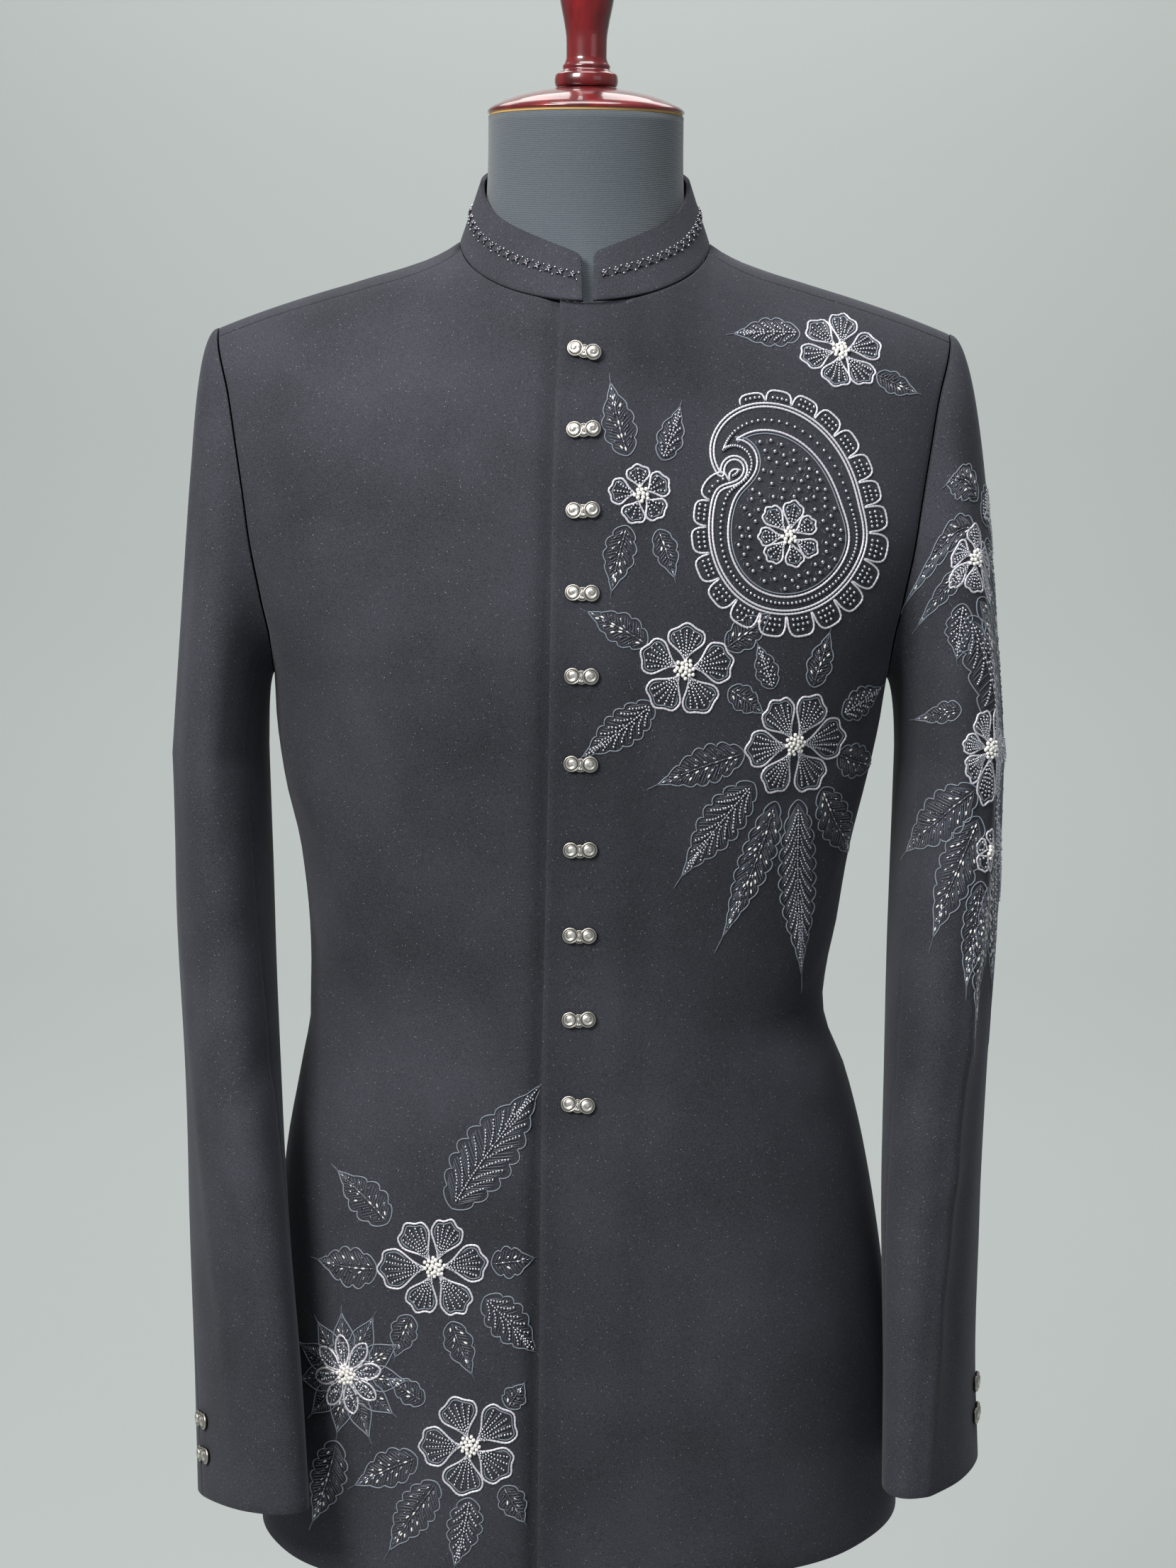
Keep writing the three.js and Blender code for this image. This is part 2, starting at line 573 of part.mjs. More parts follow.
// The collar band, from the neckline up to its own top oval
function collarPoint(angle, up) {
  const foot = neckline(Math.abs(angle));
  const low = bodyPoint(Math.sign(angle) * foot.turn, foot.rise);
  const towardsFront = Math.cos(angle * RAD);
  const depth = towardsFront > 0 ? COLLAR.frontDepth : COLLAR.backDepth;
  const sideways = Math.abs(Math.sin(angle * RAD));
  const bow = towardsFront > 0 ? COLLAR.frontBow * 4 * sideways * (1 - sideways) : 0;
  const height = COLLAR.side + bow - towardsFront * (towardsFront > 0 ? COLLAR.frontDrop : COLLAR.backRise);
  const high = V(COLLAR.half * Math.sin(angle * RAD), COLLAR.y - depth * towardsFront, height);
  const start = low.clone().addScaledVector(high.clone().sub(low).normalize(), SEAM_GAP);
  return start.lerp(high, up);
}
function addCollar() {
  const end = (which, way, up) => {
    const round = clamp01((up - COLLAR.cornerFrom) / (1 - COLLAR.cornerFrom));
    return mix(which.foot, which.top, up) + way * COLLAR.corner * (1 - Math.sqrt(1 - round ** 2));
  };
  const frontAngles = (from) => steps(NECK_COLUMNS, from, NECK_POINT).filter((angle) => angle > 10);
  const backAngles = steps(NECK_COLUMNS, NECK_POINT, 180).slice(1);
  const leftAngles = [...frontAngles(neckEdgeAngle(buttonedEdge)), ...backAngles];
  const rightAngles = [...frontAngles(-neckEdgeAngle(() => UNDER_EDGE)), ...backAngles.slice(0, -1)];
  const inner = [...leftAngles, ...rightAngles.map((angle) => -angle).reverse()];
  const columns = [null, ...inner, null];
  const angleAt = (i, up) => {
    if (i === 0) return end(COLLAR_ENDS.left, 1, up);
    return i === columns.length - 1 ? end(COLLAR_ENDS.right, -1, up) : columns[i];
  };
  const outer = gridOf((i, up) => collarPoint(angleAt(i, up), up), columns.keys().toArray(), COLLAR_ROWS);
  const normals = normalsOf(outer);
  addPiece("collar", solidBetween(outer, offsetGrid(outer, normals, -COLLAR.wall), false), blackCloth);
}
addCollar();

// A toggle button: two round heads and a small middle one in one cast bar
function buttonGeometry() {
  const half = BUTTON.wide / 2 - BUTTON.bevel;
  const headRadius = BUTTON.high / 2 - BUTTON.bevel;
  const waist = headRadius * 0.62;
  const outline = new THREE.Shape();
  outline.absarc(half - headRadius, 0, headRadius, -0.72 * Math.PI, 0.72 * Math.PI, false);
  outline.lineTo(0, waist);
  outline.absarc(-half + headRadius, 0, headRadius, 0.28 * Math.PI, 1.72 * Math.PI, false);
  outline.lineTo(0, -waist);
  outline.closePath();
  const body = new THREE.ExtrudeGeometry(outline, {
    depth: BUTTON.thick - 2 * BUTTON.bevel,
    bevelThickness: BUTTON.bevel,
    bevelSize: BUTTON.bevel,
    bevelSegments: 1,
    curveSegments: 5,
    steps: 1,
  });
  return body.translate(0, 0, BUTTON.bevel);
}

// Sews a button to a piece of cloth: its back lies just off the facet outside the given point.
function addButton(name, cloth, point, normal, along) {
  const ray = new THREE.Raycaster(point.clone().addScaledVector(normal, 30), normal.clone().negate());
  const { point: seat, face } = ray.intersectObject(cloth)[0];
  const up = face.normal.clone().cross(along).normalize();
  const across = up.clone().cross(face.normal).normalize();
  const mesh = addPiece(name, buttonGeometry(), castSilver);
  mesh.matrixAutoUpdate = false;
  mesh.matrix.makeBasis(across, up, face.normal);
  mesh.matrix.setPosition(seat.addScaledVector(face.normal, SEAM_GAP));
}

// Front surface point and normal at an x and a height, by halving up the middle arch.
function frontSpot(x, height) {
  let low = HEM_HEIGHT - ARMPIT;
  let high = 89;
  for (let pass = 0; pass < 40; pass += 1) {
    const middle = (low + high) / 2;
    if (bodyPoint(turnAtX(x, middle), middle).z < height) low = middle;
    else high = middle;
  }
  const turn = turnAtX(x, low);
  const point = bodyPoint(turn, low);
  const alongX = bodyPoint(turn + 1, low).sub(bodyPoint(turn - 1, low));
  const alongZ = bodyPoint(turn, low + 0.5).sub(bodyPoint(turn, low - 0.5));
  return { point, normal: alongX.cross(alongZ).normalize() };
}
FRONT_BUTTONS.heights.forEach((height, i) => {
  const { point, normal } = frontSpot(FRONT_BUTTONS.x, height);
  addButton(`button_${i + 1}`, buttonedFront, point, normal, V(1, 0, 0));
});

// Cuff buttons stand on the upper sleeve beside the hind seam
for (const [word, side] of [["left", 1], ["right", -1]]) {
  CUFF_BUTTONS[word].forEach((above, i) => {
    const t = 2 - above / (HEAD_END - CUFF_HEIGHTS[word]);
    const round = mix(SLEEVE_SEAMS.hind.top, SLEEVE_SEAMS.hind.cuff, t / 2) - CUFF_BUTTONS.beforeSeam;
    const point = sleevePoint(side, round, t);
    const alongRound = sleevePoint(side, round + 2, t).sub(sleevePoint(side, round - 2, t));
    const normal = sleeveNormal(side, round, t);
    addButton(`cuff_button_${word}_${i + 1}`, sleeves[`upper ${word}`], point, normal, alongRound);
  });
}

// The dress form: the jacket's own surface drawn in, flat at the arms, running up into the neck
function formSurface(turn, rise) {
  const at = bodyPoint(turn, rise);
  const chest = ease((at.z - ARMPIT) / (NECKLINE.side - 60 - ARMPIT));
  const hips = ease((ARMPIT - at.z) / (ARMPIT - FORM.bottom));
  const neck = 1.8 * ease((at.z - 1440) / 20);
  const inset = WALL + mix(mix(FORM.chestEase, FORM.shoulderEase, chest), FORM.hipEase, hips) + neck;
  at.addScaledVector(bodyNormal(turn, rise), -inset);
  const plate = FORM.armPlate + 6 * ease((at.z - 1300) / 120);
  const over = Math.abs(at.x) - plate;
  if (at.z > ARMPIT - 30 && over > -8) at.x = Math.sign(at.x) * (plate - 8 + 8 * Math.tanh((over + 8) / 8));
  return at;
}
function addForm() {
  const quarter = 10;
  // one quarter of a ring between the middle and the side, at a share q of the way up to the neck
  const upperQuarter = (front) => {
    const middle = front ? 0 : 180;
    const top = (p) => {
      const found = neckline(front ? 90 * p : 180 - 90 * p);
      return { turn: front ? found.turn : Math.max(found.turn, 180 - found.turn), rise: found.rise };
    };
    const bottom = (p) => ({ turn: mix(middle, 90, p), rise: 0 });
    const left = (q) => ({ turn: middle, rise: mix(0, top(0).rise, q) });
    const corner = 0.6;
    const right = (q) => {
      if (q < corner) return { turn: 90, rise: 89 * (1 - Math.cos((q / corner) * 90 * RAD)) };
      return { turn: mix(90, top(1).turn, (q - corner) / (1 - corner)), rise: 89.5 };
    };
    return patch(bottom, top, left, right);
  };
  const front = upperQuarter(true);
  const back = upperQuarter(false);
  const ringAt = (read) => {
    const ring = [];
    for (let i = 0; i < 4 * quarter; i += 1) {
      const share = i / quarter;
      const side = share < 2 ? 1 : -1;
      const way = share < 2 ? share : 4 - share;
      ring.push(read(side, way));
    }
    return ring;
  };
  const bottomRise = FORM.bottom - ARMPIT;
  const rings = [];
  for (const q of steps(12)) {
    rings.push(ringAt((side, way) => formSurface(side * way * 90 || 0.001, mix(bottomRise, 0, q))));
  }
  for (const q of steps(13).slice(1)) {
    rings.push(
      ringAt((side, way) => {
        const found = way <= 1 ? front(way, q) : back(2 - way, q);
        return formSurface(side * Math.max(found.turn, 0.001), found.rise);
      }),
    );
  }
  rings[0].forEach((point) => (point.z = FORM.bottom));
  const base = rings.at(-1);
  base.forEach((point) => point.set(point.x * NECK.draw, point.y * NECK.draw, point.z));
  for (const q of [0.15, 0.35, 0.65, 1]) {
    rings.push(
      base.map((point, i) => {
        const angle = (i / base.length) * 360 * RAD;
        const top = V(NECK.half * Math.sin(angle), NECK.y - NECK.half * Math.cos(angle), NECK.top);
        const settle = 1 - (1 - q) ** 4;
        return V(mix(point.x, top.x, settle), mix(point.y, top.y, settle), mix(point.z, top.z, q));
      }),
    );
  }
  addPiece("form_torso", cappedSolid(rings), greyJersey);
}
addForm();

// A turned piece: radius and height pairs from the axis out and back to it
function turned(name, profile, material, segments = 32) {
  const points = profile.map(([radius, height]) => new THREE.Vector2(radius, height));
  const geometry = new THREE.LatheGeometry(points, segments).rotateX(Math.PI / 2);
  return addPiece(name, geometry, material);
}

const capFoot = NECK.top + SEAM_GAP;
turned("neck_cap", [
  [0, capFoot],
  [CAP.radius - 1, capFoot],
  [CAP.radius, capFoot + 1.5],
  [CAP.radius - 1.5, capFoot + CAP.edge],
  [CAP.radius * 0.8, capFoot + CAP.edge + CAP.domeHeight * 0.5],
  [CAP.radius * 0.55, capFoot + CAP.edge + CAP.domeHeight * 0.8],
  [20, capFoot + CAP.edge + CAP.domeHeight],
  [0, capFoot + CAP.edge + CAP.domeHeight],
], cherryLacquer);

const finialFoot = capFoot + CAP.edge + CAP.domeHeight + SEAM_GAP;
turned("finial", [
  [0, finialFoot],
  [18, finialFoot],
  [19.4, finialFoot + 2],
  [19.4, finialFoot + 9],
  [18, finialFoot + 11],
  [14.6, finialFoot + 15],
  [12.2, finialFoot + 20],
  [12.4, finialFoot + 30],
  [15.2, finialFoot + 44],
  [17.6, finialFoot + 58],
  [18.4, finialFoot + 70],
  [17, finialFoot + 82],
  [12.5, finialFoot + 92],
  [7.6, finialFoot + 98],
  [7.2, finialFoot + 102],
  [9.2, finialFoot + 107],
  [8.2, finialFoot + 112],
  [4.6, finialFoot + 116],
  [0, finialFoot + 117],
], cherryLacquer, 24);

turned("pole", [
  [0, FOOT.thick + SEAM_GAP],
  [POLE.radius, FOOT.thick + SEAM_GAP],
  [POLE.radius, FORM.bottom - SEAM_GAP],
  [0, FORM.bottom - SEAM_GAP],
], cherryLacquer, 24);

turned("foot", [
  [0, 0],
  [FOOT.radius - 3, 0],
  [FOOT.radius, 3],
  [FOOT.radius, FOOT.thick - FOOT.rounding],
  [FOOT.radius - FOOT.rounding * 0.3, FOOT.thick - FOOT.rounding * 0.3],
  [FOOT.radius - FOOT.rounding, FOOT.thick],
  [0, FOOT.thick],
], cherryLacquer, 48);

export default jacket;
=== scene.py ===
"""A bandhgala jacket on a limbless dress form: its cloth, folds, embroidery, buttons, stand and studio.

All surfaces are worked out in millimetres and turned into metres where a mesh is made.
+Z is up, the wearer faces -Y, and the wearer's left is +X.
"""

import json

import bpy
import numpy as np
from mathutils import Matrix, Vector

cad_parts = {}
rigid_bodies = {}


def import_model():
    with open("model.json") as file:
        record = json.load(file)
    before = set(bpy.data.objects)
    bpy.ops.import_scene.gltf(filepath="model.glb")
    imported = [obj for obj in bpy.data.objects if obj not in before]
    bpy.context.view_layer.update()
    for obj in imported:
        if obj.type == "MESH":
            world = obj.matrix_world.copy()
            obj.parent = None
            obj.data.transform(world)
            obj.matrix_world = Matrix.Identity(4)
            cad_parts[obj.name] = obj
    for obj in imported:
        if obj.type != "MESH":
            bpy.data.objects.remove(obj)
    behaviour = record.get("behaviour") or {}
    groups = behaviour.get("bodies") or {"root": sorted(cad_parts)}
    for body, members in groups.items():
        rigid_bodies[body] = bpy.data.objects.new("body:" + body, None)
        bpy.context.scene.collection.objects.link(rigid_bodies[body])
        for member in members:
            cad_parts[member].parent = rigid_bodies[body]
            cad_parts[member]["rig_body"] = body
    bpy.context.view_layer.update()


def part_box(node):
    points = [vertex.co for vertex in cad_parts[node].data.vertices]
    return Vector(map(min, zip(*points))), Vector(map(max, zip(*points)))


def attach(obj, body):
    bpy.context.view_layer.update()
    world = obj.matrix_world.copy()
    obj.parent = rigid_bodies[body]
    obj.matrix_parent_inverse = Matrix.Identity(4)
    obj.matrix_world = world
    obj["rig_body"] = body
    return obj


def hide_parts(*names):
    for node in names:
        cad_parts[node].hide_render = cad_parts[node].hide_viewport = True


rng = np.random.default_rng(11)

# Cloth, as in the solids
WALL = 2.0
SEAM_GAP = 0.3
EDGE_ROUND = 0.6  # how far a pressed edge rounds out
OVERLAP_LIFT = 2.2
UNDER_PRESS = 1.2
# The buttoned edge curls forward a little, and the cloth of the right front sinks beside and under it,
# deeper below the waist
CURL = {"rise": 2.6, "width": 7.0}
TROUGH = {"depth": 2.5, "low_depth": 4.8, "beside": 1.0, "width": 6.0}
TROUGH_DEEPENS = {"from": 1060.0, "over": 140.0}
OVERLAP_RAMP = (44.0, 20.0)  # x where the lift of the buttoned edge starts, and where it is whole
UNDER_RAMP = {"from": -30.0, "over": 18.0}  # x where the press on the front under it sets in
HEM_HEIGHT = 676.0
HEM_SLANT = 0.034
HEM_SWEEP = 10.0
ARMPIT = 1212.0

# Horizontal sections of the worn jacket
SECTION_COLUMNS = ("height", "right", "left", "front", "back", "square")
SECTIONS = [
    (640, 198.5, 205, 135, 122, 2.35),
    (760, 195, 200.5, 133, 121, 2.5),
    (850, 188, 191, 130, 117, 2.45),
    (920, 181, 179, 125, 107, 2.4),
    (965, 173, 167.5, 120, 98, 2.35),
    (1010, 166, 151.5, 116, 90, 2.3),
    (1055, 167, 158.5, 116, 91, 2.35),
    (1105, 172, 166, 118, 95, 2.4),
    (1150, 182, 176, 122, 100, 2.5),
    (1190, 187, 184, 125, 104, 2.55),
    (1212, 188, 187, 126, 106, 2.6),
    (1235, 194, 194, 127, 108, 2.6),
    (1260, 205, 205, 127, 110, 2.6),
    (1300, 220, 220, 127, 113, 2.6),
    (1340, 228, 228, 127, 115, 2.6),
    (1380, 236, 236, 127, 117, 2.6),
    (1421, 246.5, 246.5, 127, 118, 2.6),
    (1600, 250, 250, 127, 118, 2.6),
]

# The top line of the shoulders, from the axis outwards
RIDGE_COLUMNS = ("out", "height")
RIDGE = [
    (0, 1562),
    (40, 1522),
    (76, 1474),
    (96, 1463),
    (135, 1450.5),
    (165, 1441.5),
    (195, 1431.5),
    (222, 1421),
    (260, 1404),
]
ARCH_POWER = {"front": 1.6, "back": 2.5}
SHOULDER_SEAM = 78.0
ARMHOLE_SHARE = 0.577
ARMHOLE_FOOT = {"front": 35.0, "back": 25.0}
NECKLINE = {"half": 75.5, "side": 1474.0, "front_drop": 37.0, "back_rise": 14.0}
BUTTONED_EDGE = [(640, -21.5), (970, -21), (1160, -18.5), (1340, -17), (1440, -13.4)]
UNDER_EDGE = 14.0
NECK_SHARE = {"front": 0.4, "back": 0.36}

COLLAR = {"wall": 2.4, "half": 63.2, "y": -2.0, "front": 70.0, "back": 68.0}
COLLAR_TOP = {"side": 1511.0, "drop": 47.0, "rise": 18.0}
COLLAR_BOW = 6.4  # how far the top edge rises above its oval halfway to the front
COLLAR_CORNER = (0.9, 3.2)  # where a front end starts to round at its top, and the degrees it loses there
COLLAR_ENDS = {"right": (-0.6, -1.2), "left": (4.0, 4.5)}  # degrees at the foot and at the top

# Sleeve sections under the armhole
CUFF_HEIGHTS = {"left": 733.5, "right": 719.5}
SLEEVE_COLUMNS = ("height", "out", "forward", "across", "deep", "twist", "lift")
SLEEVES = {
    "right": [
        (1165, 221.5, 2, 28, 76, 0, 0),
        (1060, 218, 16, 30, 74, 4, 0),
        (971, 212, 38, 29, 70, 10, 1),
        (882, 206, 64, 26.5, 65, 20, 1),
        (791, 198.5, 88, 24, 59, 29, 5),
        (CUFF_HEIGHTS["right"], 194, 104, 22.5, 56, 34, 7),
    ],
    "left": [
        (1165, 227.5, 2, 33, 76, 0, 0),
        (1060, 224.5, 13, 33.5, 74, 3, 0),
        (971, 220.5, 30, 31.5, 70, 8, 1),
        (882, 217.5, 50, 29, 65, 13, 1),
        (791, 217, 68, 25, 59, 19, 0),
        (CUFF_HEIGHTS["left"], 217.5, 80, 24, 56, 24, -1.5),
    ],
}
SLEEVE_SQUARE = 2.1
# Degrees round the arm, at the top and at the cuff
SLEEVE_SEAMS = {"front": (48.0, 42.0), "hind": (228.0, 206.0)}
HEAD_END = 1165.0
HEAD = {"start": (5.0, 30.0, 17.0), "end": (14.0, 55.0, 160.0), "draw": 13.0}

# Form and stand
FORM = {"bottom": 702.0, "shoulder": 4.8, "chest": 4.0, "hip": 11.0, "arm_plate": 196.0}
NECK = {"top": 1549.0, "half": 59.0, "draw": 0.955}

# About how many millimetres of cloth go to a degree
BODY_ARC = 2.9
SLEEVE_ARC = 0.92

# Folds of the cloth: soft ridges (+) and troughs (-) in millimetres. Ends are degrees round the body
# from the front middle and heights; the wearer's left is +.
# Columns: turn_a, height_a, turn_b, height_b, width, depth
BODY_FOLDS = [
    (8, 856, 44, 848, 8, -0.9),
    (6, 704, 38, 712, 9, -0.9),
    (-70, 812, -38, 800, 9, 0.8),
    (-62, 1215, -40, 1120, 20, -2.3),
    (-75, 1180, -52, 1060, 15, 1.9),
    (-80, 1050, -46, 1012, 13, -2.5),
    (-84, 1018, -58, 985, 10, 1.9),
    (-50, 930, -44, 720, 24, 2.0),
    (-72, 880, -66, 690, 22, -2.5),
    (-24, 900, -30, 690, 26, -1.6),
    (60, 1210, 42, 1130, 18, -2.2),
    (78, 1165, 55, 1050, 16, 1.7),
    (84, 1040, 48, 1002, 12, -2.6),
    (86, 1000, 60, 968, 10, 1.7),
    (40, 960, 36, 730, 26, 1.7),
    (58, 900, 62, 690, 22, -2.3),
    (76, 860, 78, 700, 20, 1.9),
    (24, 840, 20, 800, 9, -1.2),
    (-150, 1045, -108, 1015, 14, -2.8),
    (-158, 1012, -118, 985, 11, 2.0),
    (150, 1040, 112, 1006, 13, -2.5),
    (160, 1002, 122, 978, 10, 1.9),
    (-138, 960, -146, 700, 26, 2.3),
    (-160, 900, -166, 690, 22, -2.0),
    (132, 950, 140, 700, 25, 2.2),
    (158, 880, 154, 690, 20, -1.9),
    (-128, 1380, -140, 1250, 18, -2.5),
    (126, 1375, 142, 1240, 19, -2.3),
    (-160, 1455, -146, 1425, 12, 1.4),
    (162, 1452, 144, 1420, 11, 1.3),
    (-100, 1180, -122, 1110, 15, 2.0),
    (100, 1175, 124, 1100, 16, 1.9),
]
# The same down the sleeves, in degrees round the arm
SLEEVE_FOLDS = [
    (60, 1060, 150, 1030, 13, -2.0),
    (70, 1020, 140, 985, 10, 1.6),
    (40, 985, 110, 960, 12, -2.1),
    (200, 1100, 280, 1050, 16, 1.4),
    (150, 930, 90, 900, 12, 1.3),
    (60, 1240, 80, 1110, 16, -1.6),
    (120, 1330, 118, 1180, 20, 1.2),
    (250, 1290, 262, 1120, 18, -1.7),
    (110, 860, 170, 830, 14, -1.2),
    (300, 1000, 360, 965, 12, -1.8),
]
# The long pressed crease down the outside of each sleeve, which the left one's embroidery lies over
SLEEVE_CREASES = {
    "left": [(123, 1360, 124, 740, 7, 2.6), (146, 1200, 146, 760, 11, -1.6)],
    "right": [(146, 1400, 150, 1120, 8, 1.6), (150, 1080, 156, 760, 9, 1.3)],
}

RAD = np.pi / 180


def mix(a, b, t):
    return a + (b - a) * t


def ease(t):
    t = np.clip(t, 0, 1)
    return t * t * (3 - 2 * t)


def unit(v):
    return v / np.maximum(np.linalg.norm(v, axis=-1, keepdims=True), 1e-12)


def smooth_reader(xs, ys):
    """A cubic through (xs, ys), its slopes the weighted harmonic means of the slopes on either side."""
    order = np.argsort(xs)
    xs, ys = np.array(xs, float)[order], np.array(ys, float)[order]
    step = np.diff(xs)
    slope = np.diff(ys) / step
    near, far = 2 * step[1:] + step[:-1], step[1:] + 2 * step[:-1]
    same = slope[:-1] * slope[1:] > 0
    safe = np.where(same, slope[:-1], 1), np.where(same, slope[1:], 1)
    middle = np.where(same, (near + far) / (near / safe[0] + far / safe[1]), 0)
    tangent = np.concatenate([slope[:1], middle, slope[-1:]])

    def read(at):
        x = np.clip(at, xs[0], xs[-1])
        i = np.clip(np.searchsorted(xs, x, side="right") - 1, 0, len(step) - 1)
        h = step[i]
        t = (x - xs[i]) / h
        bend = (1 - t) ** 2
        return (
            ys[i] * (1 + 2 * t) * bend
            + tangent[i] * h * t * bend
            + ys[i + 1] * t * t * (3 - 2 * t)
            + tangent[i + 1] * h * t * t * (t - 1)
        )

    return read


def readers(columns, rows):
    """One smooth reader per column of a table, against its first column."""
    table = np.array(rows, float)
    return {name: smooth_reader(table[:, 0], table[:, k]) for k, name in enumerate(columns) if k}


SECTION = readers(SECTION_COLUMNS, SECTIONS)
RIDGE_HEIGHT = readers(RIDGE_COLUMNS, RIDGE)["height"]
SLEEVE = {word: readers(SLEEVE_COLUMNS, rows) for word, rows in SLEEVES.items()}
EDGE_X = smooth_reader(*np.array(BUTTONED_EDGE, float).T)


def half_width(height, x):
    return np.where(x < 0, SECTION["right"](height), SECTION["left"](height))


def body_point(turn, rise):
    """A point of the jacket's outer surface.

    turn is degrees round from the front middle. rise is millimetres under the armpit when negative, and
    degrees up the arch over the shoulder when positive, 90 on the ridge. A ring is an oval of the stated
    exponent; above the armpit its depth shrinks by the cosine of the rise while its height climbs to the
    ridge by the sine to the arch's power.
    """
    turn, rise = np.broadcast_arrays(np.asarray(turn, float), np.asarray(rise, float))
    over = rise > 90
    turn = np.where(over, np.where(turn < 0, -180 - turn, 180 - turn), turn)
    rise = np.where(over, 180 - rise, rise)
    front = np.abs(turn) <= 90
    sine = np.sin(turn * RAD)
    power = np.where(front, ARCH_POWER["front"], ARCH_POWER["back"])
    arch_rise = np.clip(rise, 0, 90) * RAD
    share = np.sin(arch_rise) ** (2 / power)
    height = ARMPIT + np.minimum(rise, 0)
    for _ in range(12):
        out = np.abs(sine) * half_width(height, sine)
        height = np.where(rise > 0, ARMPIT + (RIDGE_HEIGHT(out) - ARMPIT) * share, height)
    square = SECTION["square"](height)
    oval = np.maximum(0, 1 - np.abs(sine) ** square) ** (1 / square)
    depth = np.where(front, -SECTION["front"](height), SECTION["back"](height))
    return np.stack([sine * half_width(height, sine), depth * oval * np.cos(arch_rise), height], -1)


def body_normal(turn, rise, reach=0.5):
    around = body_point(turn + reach, rise) - body_point(turn - reach, rise)
    upward = body_point(turn, rise + reach) - body_point(turn, rise - reach)
    return unit(np.cross(around, upward))


def fold_depth(around, height, folds, arc):
    """The sum of the folds: each is a bell across its line that fades out towards both its ends."""
    total = np.zeros(np.broadcast(around, height).shape)
    for turn_a, height_a, turn_b, height_b, width, depth in folds:
        ax, ay = turn_a * arc, height_a
        bx, by = turn_b * arc, height_b
        length = np.hypot(bx - ax, by - ay)
        dx, dy = (bx - ax) / length, (by - ay) / length
        px, py = around * arc - ax, height - ay
        along = (px * dx + py * dy) / length
        off = px * dy - py * dx
        wander = 0.25 * width * np.sin(along * 5 + depth * 3)
        fade = ease((along + 0.25) / 0.55) * ease((1.25 - along) / 0.5)
        total += depth * np.exp(-(((off + wander) / width) ** 2)) * fade
    return total


def under_share(x):
    """How far the press on the front under the buttoned edge has come in at an x."""
    return ease((x - UNDER_RAMP["from"]) / UNDER_RAMP["over"])


def body_cloth(turn, rise, piece):
    """The dressed surface of a body piece: the jacket's own, with folds and the lift of the buttoned edge."""
    point, normal = body_point(turn, rise), body_normal(turn, rise)
    x = point[..., 0]
    lift = np.zeros(x.shape)
    if piece == "front_left":
        lift = OVERLAP_LIFT * ease((OVERLAP_RAMP[0] - x) / (OVERLAP_RAMP[0] - OVERLAP_RAMP[1]))
        lift = lift + CURL["rise"] * np.exp(-(((x - EDGE_X(point[..., 2])) / CURL["width"]) ** 2))
    if piece == "front_right":
        beside = x - EDGE_X(point[..., 2]) + TROUGH["beside"]
        lower = ease((TROUGH_DEEPENS["from"] - point[..., 2]) / TROUGH_DEEPENS["over"])
        sink = mix(TROUGH["depth"], TROUGH["low_depth"], lower)
        lift = -UNDER_PRESS * under_share(x) - sink * np.exp(-((beside / TROUGH["width"]) ** 2))
    around = np.where(np.asarray(rise) > 90, np.sign(turn) * (180 - np.abs(turn)), turn)
    near_edge = ease((np.abs(x) - 24) / 30) if piece.startswith("front") else 1
    folds = fold_depth(around, point[..., 2], BODY_FOLDS, BODY_ARC) * near_edge
    return point + normal * (lift + folds)[..., None], normal


def turn_at_x(x, rise):
    turn = np.zeros(np.broadcast(x, rise).shape)
    for _ in range(8):
        height = body_point(turn, rise)[..., 2]
        turn = np.arcsin(x / half_width(height, x)) / RAD
    return turn


def armhole_turn(rise, foot):
    low = np.clip(rise / foot, 0, 1)
    share = ARMHOLE_SHARE * np.sqrt(1 - (1 - low) ** 2)
    square = SECTION["square"](ARMPIT)
    return np.arcsin((1 - share**square) ** (1 / square)) / RAD


def neckline(angle):
    """The neckline's turn and rise at an angle round the neck: 0 front middle, 180 back middle."""
    angle = np.asarray(angle, float)
    x = NECKLINE["half"] * np.sin(angle * RAD)
    forward = np.cos(angle * RAD)
    fall = np.where(forward > 0, NECKLINE["front_drop"] * forward, -NECKLINE["back_rise"] * forward**2)
    height = RIDGE_HEIGHT(NECKLINE["half"]) - fall  # it meets the ridge only at the sides
    front = forward >= 0
    power = np.where(front, ARCH_POWER["front"], ARCH_POWER["back"])
    share = np.clip((height - ARMPIT) / (RIDGE_HEIGHT(np.abs(x)) - ARMPIT), 0, 1)
    rise = np.arcsin(share ** (power / 2)) / RAD
    turn = np.arcsin(x / half_width(height, x)) / RAD
    return np.where(front, turn, 180 - turn), rise


def neck_point_angle():
    """The angle at which the neckline meets the shoulder seam, found by halving."""
    low, high = 0.0, 90.0
    for _ in range(30):
        middle = (low + high) / 2
        low, high = (middle, high) if neckline(middle)[1] < SHOULDER_SEAM else (low, middle)
    return low


NECK_POINT = neck_point_angle()


def coons(bottom, top, left, right, ps, qs):
    """A patch between four border rows: the two ruled surfaces less the one through the corners."""
    p, q = ps[None, :, None], qs[:, None, None]
    ruled = (1 - q) * bottom[None] + q * top[None] + (1 - p) * left[:, None] + p * right[:, None]
    low, high = mix(bottom[0], bottom[-1], p), mix(top[0], top[-1], p)
    corners = mix(low, high, q)
    return ruled - corners


